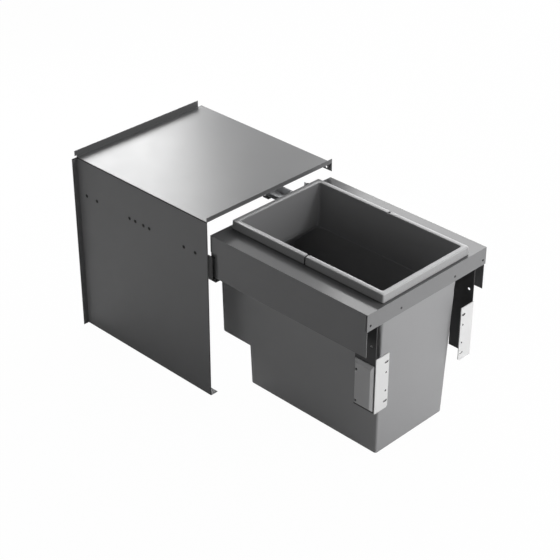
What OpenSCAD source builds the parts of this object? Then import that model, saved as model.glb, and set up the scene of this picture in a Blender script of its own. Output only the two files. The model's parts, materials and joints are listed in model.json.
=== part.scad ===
// Pull out trash cabinet: a fixed sheet metal housing (left side and top) with a
// drawer frame that runs out on two full extension rails and carries one bin.
// Millimetres. X runs across the cabinet, Y from the front to the back, Z up.
// The source is drawn with the housing front edge at Y = 0 and moved once at the
// end, so that the origin lies under the middle of the whole part.

/* [Housing] */
// Width over the side panel and the right flange of the cover
housing_width = 381; // [300:1:600]
// Height of the housing from the base flange to the top of the cover
housing_height = 440; // [350:1:600]
// Depth of the housing from its front edge to the rear flange
housing_depth = 424.5; // [350:0.5:600]
// Thickness of the housing sheet
sheet = 1.2; // [0.8:0.1:2]
// Height of the lip that stands up along the front edge of the cover
front_lip = 9.2; // [4:0.1:20]
// Height of the lip that stands up along the rear edge of the cover
rear_lip = 16; // [8:0.1:40]
// Length by which the rear lip stands out beyond the left side of the cover
rear_lip_reach = 5.5; // [1:0.1:12]
// Height of the outstanding end of the rear lip above the cover
rear_lip_rise = 3.5; // [1:0.1:7]
// Distance of the right end of the rear lip from the right side of the cover
rear_lip_end = 12; // [2:0.1:40]
// Width of the flange that turns outward at the rear of the side panel
rear_flange = 14; // [8:0.5:30]
// Width of the flanges that turn inward at the foot and the top of the side panel
foot_flange = 20; // [12:0.5:40]
// Height of the flange that turns down at the right side of the cover
right_flange = 21.6; // [12:0.1:40]
// Diameter of the screw holes in the foot flange and in the right flange
fixing_hole = 5; // [3:0.1:8]
// Distance of the outer screw holes in the foot flange from its ends
foot_hole_inset = 37; // [20:0.5:80]
// Distance of the outer screw holes in the right flange from its ends
flange_hole_inset = 16; // [8:0.5:40]
// Distance of the right flange holes above the lower edge of the flange
flange_hole_rise = 5.8; // [3.2:0.1:12]

/* [Rail screws] */
// Height of the line of rail screws above the rail top
rail_screw_rise = 44.6; // [30:0.1:60]
// Distance of the front rail screws behind the housing front edge
front_screw_inset = 38.9; // [20:0.1:60]
// Distance of the rear rail screws ahead of the rail rear end
rear_screw_inset = 27.1; // [12:0.1:50]
// First hole pair, half distance
hole_pair_a = 13.3; // [8:0.1:25]
// Second hole pair, half distance
hole_pair_b = 32.5; // [26:0.1:60]
// Distance between the two rail screws at each end
end_screw_step = 35.5; // [20:0.1:60]
// Diameter of the rail screw shank
rail_screw = 5.4; // [3:0.1:6]
// Diameter of the holes in the right rail for the cabinet screws
cabinet_hole = 5; // [4:0.1:6.5]
// Diameter of the rail screw head
rail_screw_head = 7.6; // [6:0.1:10]
// Height of the rail screw head
rail_screw_head_height = 1.8; // [1:0.1:2.5]

/* [Fixed rails] */
// Distance of the rail front end ahead of the housing front edge
rail_front = 13; // [5:0.5:30]
// Distance of the rail rear end ahead of the housing rear edge
rail_end_gap = 0.5; // [0:0.5:20]
// Thickness of the rail sheet
rail_sheet = 1.5; // [1:0.1:2.5]
// Gap between the rail top face and the side plates of the drawer
plate_gap = 0.4; // [0.3:0.1:3]
// Width of the rail top face, measured in from its outer side
rail_width = 21.9; // [18:0.1:30]
// Height of the low wall along the outer side above the rail top
rail_wall = 18; // [8:0.5:30]
// Rise of the mounting tabs above the line of rail screws
tab_rise = 10.4; // [6:0.1:20]
// Distance of the tab ends beyond their last screw
tab_margin = 8.6; // [6:0.1:20]
// Outside width of the channel under the rail top
channel_width = 13.5; // [10:0.1:18]
// Clear height inside the channels that hold the glides
channel_height = 8.5; // [6:0.1:12]
// Length of the rubber stop in the front end of the channel
stop_length = 6; // [4:0.5:12]
// Distance of the closing catch behind the housing front edge
catch_front = 170; // [120:1:250]
// Length of the closing catch
catch_length = 18; // [10:0.5:30]
// Width of the closing catch
catch_width = 8; // [5:0.5:12]
// Height of the upturned nose of the closing catch
catch_nose = 4; // [2:0.1:5]
// Thickness of the closing catch
catch_sheet = 1.4; // [1:0.1:2]

/* [Middle members] */
// Thickness of the middle member
middle_sheet = 2; // [1.5:0.1:3]
// Length of the middle member
middle_length = 330; // [290:1:400]
// Rise of the middle member above the drawer rail
middle_rise = 5.5; // [1:0.5:20]
// Length of one plastic glide
glide_length = 30; // [15:1:50]
// Gap between the glide ends and the web of the drawer rail
glide_side_gap = 0.5; // [0.3:0.1:2]
// Distance of the first drawer glide from the front end of the middle member
glide_inset = 26; // [15:0.5:60]
// Gap between a glide and the rubber stop with the drawer pulled out
stop_gap = 0.5; // [0.3:0.1:2]
// Distance between the two glides of one channel
glide_pitch = 55.5; // [40:0.5:120]
// Play of a glide in its channel, above and below
glide_play = 0.2; // [0.1:0.05:0.4]
// Gap between the middle member and the edges of the channels
middle_gap = 1; // [0.5:0.1:2]

/* [Travel] */
// Travel of the drawer from pulled out to closed
travel = 424; // [300:1:450]
// Distance of the frame front face ahead of the housing when the drawer is closed
closed_front = 16.5; // [5:0.5:60]

/* [Drawer frame] */
// Gap between the side skirts of the frame and the rail mounting faces
frame_gap = 5.9; // [3:0.1:8]
// Depth of the drawer frame from its front face to its rear face
frame_depth = 438.9; // [350:0.1:500]
// Distance of the frame top face below the top of the cover
frame_drop = 33.4; // [30:0.1:80]
// Thickness of the frame sheet
frame_sheet = 1.5; // [1:0.1:2.5]
// Height of the front and side skirts
skirt_height = 39.6; // [25:0.1:60]
// Open gap between the front skirt and the side skirts at the front corners
corner_gap = 2.4; // [1:0.1:5]
// Height of the side plates, from the frame top down
side_plate_height = 100.2; // [80:0.1:140]
// Distance of the bin opening from the sides of the frame
opening_side = 59; // [46:0.5:80]
// Distance of the opening from the frame front face
opening_front = 12.5; // [8:0.1:40]
// Distance of the opening from the frame rear face
opening_rear = 17.5; // [8:0.1:40]
// Corner radius of the opening
opening_radius = 12; // [4:0.5:40]
// Distance of the screws in the front skirt below the frame top
skirt_screw_drop = 27.6; // [10:0.1:32]
// Distance of the outer skirt screws from the sides of the frame
outer_screw_inset = 9.9; // [7:0.1:25]
// Distance of the inner skirt screws from the sides of the frame
inner_screw_inset = 100.8; // [60:0.1:130]
// Diameter of the skirt screw shank
skirt_screw = 3.5; // [2.5:0.1:5]
// Diameter of the skirt screw head
skirt_screw_head = 5.4; // [4.5:0.1:8]
// Height of the skirt screw head
skirt_screw_head_height = 0.4; // [0.2:0.1:0.5]
// Width of the inward flange of the front brace and the rear member
brace_flange = 11; // [6:0.5:11]
// Distance of the brace ends beyond the inner skirt screws
brace_end = 26.8; // [8:0.1:30]
// Height of the rear member
rear_member_height = 60; // [30:1:90]
// Width of the end flanges of the rear member
rear_end_flange = 18; // [12:0.5:30]
// Diameter of the rear member screws
rear_screw = 4; // [3:0.1:5]
// Diameter of the rear member screw heads
rear_screw_head = 7; // [5:0.1:9]
// Height of the rear member screw heads
rear_screw_head_height = 1.6; // [1:0.1:2.5]
// Half distance between the rear member screws of one side
rear_screw_pitch = 20; // [10:0.5:25]

/* [Drawer rails] */
// Distance of the drawer rail front end behind the frame front face
inner_inset = 28.5; // [10:0.5:40]
// Length of the drawer rail
inner_length = 410; // [300:1:410]
// Height of the drawer rail channel floor above the rail top
inner_rise = 16; // [2:0.5:30]

/* [Door brackets] */
// Distance of the arm outer faces from the sides of the frame
arm_inset = 31; // [20:0.5:45]
// Thickness of the arms
arm_sheet = 2; // [1.5:0.1:3]
// Depth of the arms from front to back
arm_depth = 54; // [45:0.5:80]
// Length of the arms from the frame top down to their foot
arm_length = 250.1; // [180:0.1:300]
// Diameter of the round hole in each arm
arm_hole = 6.5; // [4:0.1:10]
// Distance of the round hole in each arm above the door bracket
arm_hole_rise = 25.5; // [8:0.5:60]
// Distance of the round hole behind the arm front edge
arm_hole_inset = 11.5; // [8:0.5:30]
// Thickness of the white door brackets
bracket_sheet = 2; // [1.5:0.1:3]
// Width of the front leg of the door brackets
bracket_width = 39.6; // [30:0.1:60]
// Height of the door brackets
bracket_height = 132; // [90:0.5:180]
// Depth of the side leg of the door brackets at its foot
bracket_leg = 25; // [21:0.5:50]
// Drop of the sloping upper edge of the side leg from its front to its rear
bracket_leg_drop = 26; // [5:0.5:30]
// Chamfer at the lower inner corner of the door brackets
bracket_chamfer = 4; // [1:0.5:10]
// Distance of the slots and holes from the outer side of the door bracket
bracket_hole_inset = 31.5; // [20:0.1:40]
// Height between the two slots
slot_spacing = 95; // [60:0.5:120]
// Height between the two round holes
hole_spacing = 44.6; // [25:0.1:64]
// Length of the slots
slot_length = 11; // [7:0.5:16]
// Width of the slots
slot_width = 5; // [3:0.1:7]
// Diameter of the round holes
bracket_hole = 4.6; // [3:0.1:7]
// Diameter of the rivets that hold a door bracket on its arm
bracket_rivet = 4; // [3:0.1:6]
// Diameter of the rivet heads
bracket_rivet_head = 7; // [5:0.1:10]
// Height of the rivet heads
bracket_rivet_head_height = 1.2; // [0.6:0.1:2]
// Height between the two rivets
rivet_spacing = 70; // [40:0.5:110]
// Distance of the rivets behind the arm front edge
rivet_inset = 14; // [8:0.5:18]

/* [Arm guard] */
// Thickness of the plastic guard on the left arm
guard_thickness = 6.3; // [4:0.1:10]
// Height of the guard
guard_height = 110; // [100:0.5:130]
// Distance of the guard rear side ahead of the arm rear edge
guard_margin = 1.6; // [0.5:0.1:8]
// Distance of the guard foot above the arm foot
guard_foot = 5; // [2:0.5:20]
// Distance of the guard front side behind the arm front edge
guard_inset = 2.4; // [1:0.1:8]
// Width of the chamfer round the guard face
guard_chamfer = 5; // [2:0.1:6]
// Slope height at the top of the guard
guard_top_slope = 9; // [4:0.5:16]
// Wall of the hollow guard
guard_wall = 1.8; // [1.2:0.1:3]
// Diameter of the screw holes in the arms and in the guard
guard_hole = 4.4; // [3:0.1:5]
// Diameter of the guard screw heads
guard_head = 5.6; // [5.4:0.1:7]
// Height of the guard screw heads
guard_head_height = 1.8; // [1:0.1:2]
// Depth of the recesses for the guard screw heads
guard_recess = 3.4; // [2.2:0.1:4]
// Distance of the guard screws from the rear side of the guard
guard_screw_inset = 7.5; // [6.5:0.1:12]
// Height of the lower guard screw above the guard foot
guard_screw_foot = 10.5; // [9:0.5:16]
// Height between the two guard screws
guard_screw_spacing = 76; // [50:0.5:90]

/* [Bin] */
// Height from the underside of the bin up to the frame top
bin_hang = 392.1; // [360:0.1:405]
// Distance of the fold in the bin walls below the frame top
fold_drop = 83.6; // [65:0.1:120]
// Distance of the underside of the rear shoulder below the frame top
shoulder_drop = 291.6; // [240:0.1:340]
// Distance of the top of the upright shoulder wall below the fold
shoulder_slope = 71; // [50:0.5:120]
// Reach of the rear shoulder behind the frame rear face
shoulder_reach = 45.6; // [20:0.1:60]
// Wall thickness of the bin
bin_wall = 2.4; // [1.6:0.1:3]
// Thickness of the bin floor
floor_thickness = 3; // [2:0.1:5]
// Gap between the bin and the sides of the opening
side_gap = 1; // [0.5:0.1:4]
// Gap between the bin and the front of the opening
front_gap = 2.8; // [0.5:0.1:6]
// Gap between the bin and the rear of the opening
rear_gap = 5.3; // [2:0.1:10]
// Inset of the side walls at the fold, from the mouth
fold_side = 8.6; // [4:0.1:16]
// Inset of the front wall at the fold, from the mouth
fold_front = 6.1; // [3:0.1:16]
// Inset of the sloping rear wall at the fold, from the mouth
fold_rear = 4.8; // [2:0.1:8]
// Inset of the lower rear wall at the fold, from the mouth
lower_rear = 9; // [8.5:0.1:20]
// Slope of the bin walls below the fold, as a share of the height
wall_slope_share = 0.028; // [0.01:0.001:0.05]
// Reach of the bin flange beyond the opening edge
flange_reach = 3; // [2:0.1:3.6]
// Thickness of the bin flange
flange_thickness = 2.5; // [1.5:0.1:4]
// Corner radius of the bin below the fold
bin_radius = 5; // [4:0.5:20]
// Corner radius of the bin above the fold
upper_radius = 7.4; // [5:0.1:18]
// Sink of the corner rounding, as a share of its radius
tangent_share = 0.996; // [0.99:0.001:0.999]

/* [Clamp frames] */
// Reach of the clamp frames beyond the sides of the opening
clamp_side_reach = 8; // [7:0.1:20]
// Reach of the clamp frames beyond the front and the rear of the opening
clamp_end_reach = 6.5; // [6.4:0.1:11]
// Thickness of the top band
clamp_top = 2.6; // [1.5:0.1:4]
// Thickness of the outer skirt of the clamp frames
clamp_skirt = 2.4; // [1.5:0.1:2.6]
// Height of the clamp frames above the frame top
clamp_height = 20.6; // [19:0.1:28]
// Outer corner radius of the clamp frames
clamp_radius = 4.5; // [4:0.5:20]
// Gap round the clamp frames where they don't rest on the bin
clamp_gap = 0.4; // [0.2:0.1:0.6]
// Width of the seam between the two clamp frames
seam_gap = 3; // [1:0.1:5]
// Distance of the seam ahead of the middle of the clamp frames
seam_place = 1.2; // [0:0.1:20]
// Radius of the frame ends at the top of the seam
seam_radius = 3.5; // [2.7:0.1:6]
// Diameter of the clamp pivot pins
pivot_pin = 4; // [3:0.1:5]
// Reach of the pivot ears on both sides of the seam
ear_reach = 7; // [5:0.5:14]
// Height of the pivot ears
ear_height = 10; // [7:0.5:12]

/* [Rear buffer] */
// Distance of the rear buffer from the side of the frame
buffer_side = 79; // [64:1:100]
// Distance of the rear buffer ahead of the frame rear face
buffer_inset = 5.6; // [5:0.1:8]
// Radius of the rear buffer
buffer_radius = 4.6; // [3:0.1:5.5]
// Height of the rear buffer above the frame top
buffer_height = 16.4; // [10:0.1:24]
// Diameter of the buffer peg through the frame
buffer_peg = 4; // [3:0.1:6]

/* [Fits] */
// Radial clearance of screws and pins in plain holes
hole_fit = 0.25; // [0.1:0.05:0.5]
// Radial clearance of the pivot pins
pivot_fit = 0.08; // [0.03:0.01:0.1]

/* [Colours] */
// Anthracite sheet
c_sheet = [0.30, 0.30, 0.31];
// Dark brackets
c_dark = [0.10, 0.10, 0.11];
// Galvanised steel
c_zinc = [0.72, 0.73, 0.74];
// Black plastic and rubber
c_black = [0.05, 0.05, 0.05];
// Anthracite plastic
c_plastic = [0.27, 0.27, 0.28];
// White coating
c_white = [0.86, 0.86, 0.86];

/* [Hidden] */
$fn = 64;
// Overrun of every cutting shape
cut = 2;
// Shift that puts the origin under the middle of the whole part
shift_x = rear_flange / 2;
panel_left = -housing_width / 2;
panel_right = housing_width / 2;
cover_under = housing_height - sheet;
flange_foot = housing_height - right_flange;
// Frame
frame_front = closed_front + travel;
frame_rear = frame_front - frame_depth;
frame_top = housing_height - frame_drop;
frame_under = frame_top - frame_sheet;
skirt_foot = frame_top - skirt_height;
plate_foot = frame_top - side_plate_height;
plate_front = frame_front - frame_sheet;
rear_inner = frame_rear + frame_sheet;
skirt_screw_height = frame_top - skirt_screw_drop;
// Foremost plane, the front face of the door brackets
front_plane = plate_front + bracket_sheet;
shift_y = (front_plane - housing_depth) / 2;
// Middle of the drawer, halfway between the two rail mounting faces
drawer_x = sheet / 2;
rail_out = (housing_width - sheet) / 2;
rail_in = rail_out - rail_width;
rail_top = plate_foot - plate_gap;
rail_back = housing_depth - rail_end_gap;
rail_wall_in = rail_out - rail_sheet;
web_out = rail_in + channel_width;
channel_floor = rail_top - rail_sheet - channel_height;
// Screw line and pattern
rail_screw_height = rail_top + rail_screw_rise;
rail_screw_middle = (front_screw_inset + rail_back - rear_screw_inset) / 2;
hole_pair_d = rail_screw_middle - front_screw_inset;
hole_pair_c = hole_pair_d - end_screw_step;
pairs = [hole_pair_a, hole_pair_b, hole_pair_c, hole_pair_d];
tab_top = rail_screw_height + tab_rise;
// Widths of the drawer from its middle
frame_half = rail_out - frame_gap;
skirt_in = frame_half - frame_sheet;
plate_in = skirt_in - frame_sheet;
outer_skirt_screw = frame_half - outer_screw_inset;
inner_skirt_screw = frame_half - inner_screw_inset;
brace_half = inner_skirt_screw + brace_end;
// Channels of the drawer rail
inner_front = frame_front - inner_inset;
inner_floor = rail_top + inner_rise;
inner_top = inner_floor + channel_height;
inner_web_in = plate_in - rail_sheet;
// Middle member
middle_out = rail_in - middle_gap;
middle_in = middle_out - middle_sheet;
middle_foot = channel_floor + middle_gap / 2;
middle_top = inner_top + rail_sheet + middle_rise;
middle_front = rail_front + travel / 2;
glide_out = min(inner_web_in, web_out - rail_sheet) - glide_side_gap;
glide_height = channel_height - 2 * glide_play;
stop_back = stop_length - rail_front;
// Brackets
arm_out = frame_half - arm_inset;
arm_in = arm_out - arm_sheet;
arm_rear = plate_front - arm_depth;
arm_foot = frame_top - arm_length;
bracket_top = arm_foot + bracket_height;
bracket_middle = arm_foot + bracket_height / 2;
slot_x = arm_out - bracket_hole_inset;
rivet_y = rivet_inset - plate_front;
rivet_hole = bracket_rivet + 2 * hole_fit;
guard_back = -arm_rear - guard_margin;
guard_low = arm_foot + guard_foot;
guard_face = arm_out + guard_thickness;
guard_screw_y = guard_back - guard_screw_inset;
guard_screw_z = [guard_low + guard_screw_foot,
    guard_low + guard_screw_foot + guard_screw_spacing];
guard_seat = guard_face - guard_recess;
// Opening of the frame
opening_half = frame_half - opening_side;
buffer_place = frame_half - buffer_side;
opening_y0 = opening_front - frame_front;
opening_y1 = -frame_rear - opening_rear;
// Bin, outer faces at the mouth, at the fold and at the floor
mouth_out = opening_half - side_gap;
mouth_y0 = opening_y0 + front_gap;
mouth_y1 = opening_y1 - rear_gap;
clamp_peak = frame_top + clamp_height;
mouth_top = clamp_peak - clamp_top;
bin_floor = frame_top - bin_hang;
fold_height = frame_top - fold_drop;
shoulder_foot = frame_top - shoulder_drop;
shoulder_top = fold_height - shoulder_slope;
shoulder_y1 = shoulder_reach - frame_rear;
fold_half = mouth_out - fold_side;
fold_y0 = mouth_y0 + fold_front;
fold_y1 = mouth_y1 - fold_rear;
lower_y1 = mouth_y1 - lower_rear;
// Clamp frames
clamp_half = opening_half + clamp_side_reach;
clamp_y0 = opening_y0 - clamp_end_reach;
clamp_y1 = opening_y1 + clamp_end_reach;
seam_y = (clamp_y0 + clamp_y1) / 2 - seam_place;
ear_in = mouth_out + clamp_gap;
ear_out = clamp_half - clamp_skirt;
ear_split = (ear_in + ear_out) / 2;
ear_foot = mouth_top - ear_height;
pivot_z = mouth_top - ear_height / 2;

// Which node to draw

// A box given by its lower and upper corner
module block(a, b) {
    translate(a)
        cube(b - a);
}

// Anything drawn for the right side, placed on one side of the drawer
module on_side(s) {
    translate([drawer_x, 0, 0])
        mirror([s < 0 ? 1 : 0, 0, 0])
            children();
}

// A cylinder along X
module rod_x(p, d, l) {
    translate(p)
        rotate([0, 90, 0])
            cylinder(d = d, h = l);
}

// A cylinder along Y
module rod_y(p, d, l) {
    translate(p)
        rotate([-90, 0, 0])
            cylinder(d = d, h = l);
}

// A rectangle with round corners, between two points, standing up
module slab(x, y0, y1, r, z0, z1) {
    block([-x + r, y0, z0], [x - r, y1, z1]);
    block([-x, y0 + r, z0], [x, y1 - r, z1]);
    for (sx = [-1, 1], py = [y0 + r, y1 - r])
        translate([sx * (x - r), py, z0])
            cylinder(r = r, h = z1 - z0);
}

// Housing: bent side panel with foot, top and rear flanges
module side_panel() {
    color(c_sheet)
        difference() {
            union() {
                block([panel_left, 0, 0], [panel_left + sheet, housing_depth, cover_under]);
                block([panel_left, 0, 0], [panel_left + foot_flange, housing_depth, sheet]);
                block([panel_left, sheet, cover_under - sheet],
                    [panel_left + foot_flange, housing_depth, cover_under]);
                block([panel_left - rear_flange, housing_depth - sheet, 0],
                    [panel_left, housing_depth, cover_under]);
            }
            for (p = pairs, s = [-1, 1])
                rod_x([panel_left - cut, rail_screw_middle + s * p, rail_screw_height],
                    rail_screw + 2 * hole_fit, sheet + 2 * cut);
            for (y = [foot_hole_inset, housing_depth / 2, housing_depth - foot_hole_inset])
                translate([panel_left + foot_flange / 2, y, -cut])
                    cylinder(d = fixing_hole, h = sheet + 2 * cut);
        }
}

// Housing: cover with a lip at the front and the rear and a flange at the right
module top_cover() {
    color(c_sheet)
        difference() {
            union() {
                block([panel_left, 0, cover_under], [panel_right, housing_depth, housing_height]);
                block([panel_left, 0, cover_under],
                    [panel_right, sheet, housing_height + front_lip]);
                block([panel_left, housing_depth - sheet, cover_under],
                    [panel_right - rear_lip_end, housing_depth, housing_height + rear_lip]);
                block([panel_left - rear_lip_reach, housing_depth - sheet,
                    housing_height + rear_lip_rise],
                    [panel_left + sheet, housing_depth, housing_height + rear_lip]);
                block([panel_right - sheet, 0, flange_foot],
                    [panel_right, housing_depth, housing_height]);
            }
            for (y = [flange_hole_inset, housing_depth / 2, housing_depth - flange_hole_inset])
                rod_x([panel_right - sheet - cut, y, flange_foot + flange_hole_rise],
                    fixing_hole, sheet + 2 * cut);
        }
}

// Fixed rail: top face, low outer wall, three tabs and the channel underneath
module rail(s) {
    color(c_zinc)
        on_side(s)
            difference() {
                union() {
                    block([rail_wall_in, -rail_front, rail_top - rail_sheet],
                        [rail_out, rail_back, rail_top + rail_wall]);
                    block([rail_in, -rail_front, rail_top - rail_sheet],
                        [rail_out, rail_back, rail_top]);
                    block([web_out - rail_sheet, -rail_front, channel_floor - rail_sheet],
                        [web_out, rail_back, rail_top]);
                    block([rail_in, -rail_front, channel_floor - rail_sheet],
                        [web_out, rail_back, channel_floor]);
                    for (r = [[-rail_front, rail_screw_middle - hole_pair_c + tab_margin],
                        [rail_screw_middle - hole_pair_b - tab_margin,
                            rail_screw_middle + hole_pair_b + tab_margin],
                        [rail_screw_middle + hole_pair_c - tab_margin, rail_back]])
                        block([rail_wall_in, r[0], rail_top], [rail_out, r[1], tab_top]);
                }
                for (p = pairs, k = [-1, 1])
                    rod_x([rail_wall_in - cut, rail_screw_middle + k * p, rail_screw_height],
                        s < 0 ? rail_screw + 2 * hole_fit : cabinet_hole,
                        rail_sheet + 2 * cut);
            }
}

// Screws that hold the left rail on the side panel
module rail_screws() {
    color(c_dark)
        for (p = pairs, s = [-1, 1]) {
            y = rail_screw_middle + s * p;
            rod_x([panel_left, y, rail_screw_height], rail_screw,
                sheet + rail_sheet + rail_screw_head_height);
            rod_x([panel_left + sheet + rail_sheet, y, rail_screw_height],
                rail_screw_head, rail_screw_head_height);
        }
}

// Rubber stop in the front end of a rail channel
module stop(s) {
    color(c_black)
        on_side(s)
            block([rail_in, -rail_front, channel_floor],
                [web_out - rail_sheet, stop_back, channel_floor + channel_height]);
}

// Closing catch under the inner edge of a fixed rail
module catch(s) {
    under = channel_floor - rail_sheet;
    color(c_black)
        on_side(s) {
            block([rail_in - catch_width, catch_front, under - catch_sheet],
                [web_out, catch_front + catch_length, under]);
            block([rail_in - catch_width, catch_front, under - catch_sheet],
                [rail_in - catch_width + catch_sheet, catch_front + catch_length,
                    under + catch_nose]);
        }
}

// Middle member: an upright strip that links the two channels
module middle(s) {
    color(c_zinc)
        on_side(s)
            block([middle_in, -middle_front, middle_foot],
                [middle_out, middle_length - middle_front, middle_top]);
}

// Glides of a middle member: two in the fixed rail and two in the drawer rail
module glides(s) {
    low = channel_floor + glide_play;
    high = inner_floor + glide_play;
    color(c_black)
        on_side(s)
            for (k = [0, 1]) {
                y0 = stop_back + stop_gap + k * glide_pitch;
                block([middle_out, y0, low], [glide_out, y0 + glide_length, low + glide_height]);
                y1 = glide_inset - middle_front + k * glide_pitch;
                block([middle_out, y1, high], [glide_out, y1 + glide_length, high + glide_height]);
            }
}

// Drawer rail: channel on the inner face of a side plate
module drawer_rail(s) {
    back = inner_length - inner_front;
    color(c_zinc)
        on_side(s) {
            block([inner_web_in, -inner_front, inner_floor - rail_sheet],
                [plate_in, back, inner_top + rail_sheet]);
            block([rail_in, -inner_front, inner_floor - rail_sheet], [plate_in, back, inner_floor]);
            block([rail_in, -inner_front, inner_top], [plate_in, back, inner_top + rail_sheet]);
        }
}

// Side plate of the drawer, inside the skirt of the top frame
module side_plate(s) {
    color(c_sheet)
        on_side(s)
            difference() {
                block([plate_in, -plate_front, plate_foot], [skirt_in, -frame_rear, frame_under]);
                for (k = [-1, 1])
                    rod_x([plate_in - cut, -frame_rear - rear_end_flange / 2,
                        rear_screw_z(k)], rear_screw + 2 * hole_fit, frame_sheet + 2 * cut);
            }
}

// Height of a rear member screw
function rear_screw_z(k) = frame_under - rear_member_height / 2 + k * rear_screw_pitch;

// Top frame: flat top with the bin opening, front skirt and side skirts
module top_frame() {
    color(c_sheet)
        translate([drawer_x, 0, 0])
            difference() {
                union() {
                    block([-frame_half, -frame_front, frame_under],
                        [frame_half, -frame_rear, frame_top]);
                    block([-frame_half, -frame_front, skirt_foot],
                        [frame_half, -plate_front, frame_top]);
                    for (s = [-1, 1])
                        mirror([s < 0 ? 1 : 0, 0, 0])
                            block([skirt_in, corner_gap - plate_front, skirt_foot],
                                [frame_half, -frame_rear, frame_top]);
                }
                slab(opening_half, opening_y0, opening_y1, opening_radius,
                    frame_under - cut, frame_top + cut);
                for (x = [outer_skirt_screw, inner_skirt_screw], s = [-1, 1])
                    rod_y([s * x, -frame_front - cut, skirt_screw_height],
                        skirt_screw + 2 * hole_fit, frame_sheet + 2 * cut);
                translate([buffer_place, -frame_rear - buffer_inset, frame_under - cut])
                    cylinder(d = buffer_peg + 2 * hole_fit, h = frame_sheet + 2 * cut);
            }
}

// Brace behind the front skirt
module front_brace() {
    color(c_dark)
        translate([drawer_x, 0, 0])
            difference() {
                union() {
                    block([-brace_half, -plate_front, skirt_foot + frame_sheet],
                        [brace_half, frame_sheet - plate_front, frame_under]);
                    block([-brace_half, -plate_front, frame_under - frame_sheet],
                        [brace_half, brace_flange - plate_front, frame_under]);
                }
                for (s = [-1, 1])
                    rod_y([s * inner_skirt_screw, -plate_front - cut, skirt_screw_height],
                        skirt_screw + 2 * hole_fit, frame_sheet + 2 * cut);
            }
}

// Rear member between the side plates
module rear_member() {
    foot = frame_under - rear_member_height;
    color(c_dark)
        translate([drawer_x, 0, 0])
            difference() {
                union() {
                    block([-plate_in, -rear_inner, foot], [plate_in, -frame_rear, frame_under]);
                    block([-plate_in, -frame_rear - brace_flange, frame_under - frame_sheet],
                        [plate_in, -frame_rear, frame_under]);
                    for (s = [-1, 1])
                        mirror([s < 0 ? 1 : 0, 0, 0])
                            block([plate_in - frame_sheet, -frame_rear - rear_end_flange, foot],
                                [plate_in, -frame_rear, frame_under]);
                }
                for (k = [-1, 1])
                    rod_x([-plate_in - cut, -frame_rear - rear_end_flange / 2, rear_screw_z(k)],
                        rear_screw + 2 * hole_fit, 2 * plate_in + 2 * cut);
                translate([buffer_place, -frame_rear - buffer_inset, frame_under - cut])
                    cylinder(d = buffer_peg + 2 * hole_fit, h = 2 * cut);
            }
}

// Screws that hold the rear member, heads inside and ends under the side skirts
module rear_screws() {
    inside = plate_in - frame_sheet;
    color(c_dark)
        for (s = [-1, 1], k = [-1, 1])
            on_side(s) {
                rod_x([inside - rear_screw_head_height, -frame_rear - rear_end_flange / 2,
                    rear_screw_z(k)], rear_screw, skirt_in - inside + rear_screw_head_height);
                rod_x([inside - rear_screw_head_height, -frame_rear - rear_end_flange / 2,
                    rear_screw_z(k)], rear_screw_head, rear_screw_head_height);
            }
}

// Screws through the front skirt into the brace and the arms
module skirt_screws() {
    color(c_black)
        translate([drawer_x, 0, 0])
            for (x = [outer_skirt_screw, inner_skirt_screw], s = [-1, 1]) {
                rod_y([s * x, -frame_front - skirt_screw_head_height, skirt_screw_height],
                    skirt_screw, frame_sheet + arm_sheet + skirt_screw_head_height);
                rod_y([s * x, -frame_front - skirt_screw_head_height, skirt_screw_height],
                    skirt_screw_head, skirt_screw_head_height);
            }
}

// Arm that hangs under the front corner of the frame and carries a door bracket
module arm(s) {
    color(c_dark)
        on_side(s)
            difference() {
                union() {
                    block([arm_in, -plate_front, arm_foot], [arm_out, -arm_rear, frame_under]);
                    block([arm_in, -plate_front, skirt_foot + frame_sheet],
                        [plate_in, arm_sheet - plate_front, frame_under]);
                }
                rod_x([arm_in - cut, arm_hole_inset - plate_front, bracket_top + arm_hole_rise],
                    arm_hole, arm_sheet + 2 * cut);
                rod_y([outer_skirt_screw, -plate_front - cut, skirt_screw_height],
                    skirt_screw + 2 * hole_fit, arm_sheet + 2 * cut);
                for (k = [-1, 1])
                    rod_x([arm_in - cut, rivet_y, bracket_middle + k * rivet_spacing / 2],
                        rivet_hole, arm_sheet + 2 * cut);
                if (s < 0)
                    for (z = guard_screw_z)
                        rod_x([arm_in - cut, guard_screw_y, z], guard_hole, arm_sheet + 2 * cut);
            }
}

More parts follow.
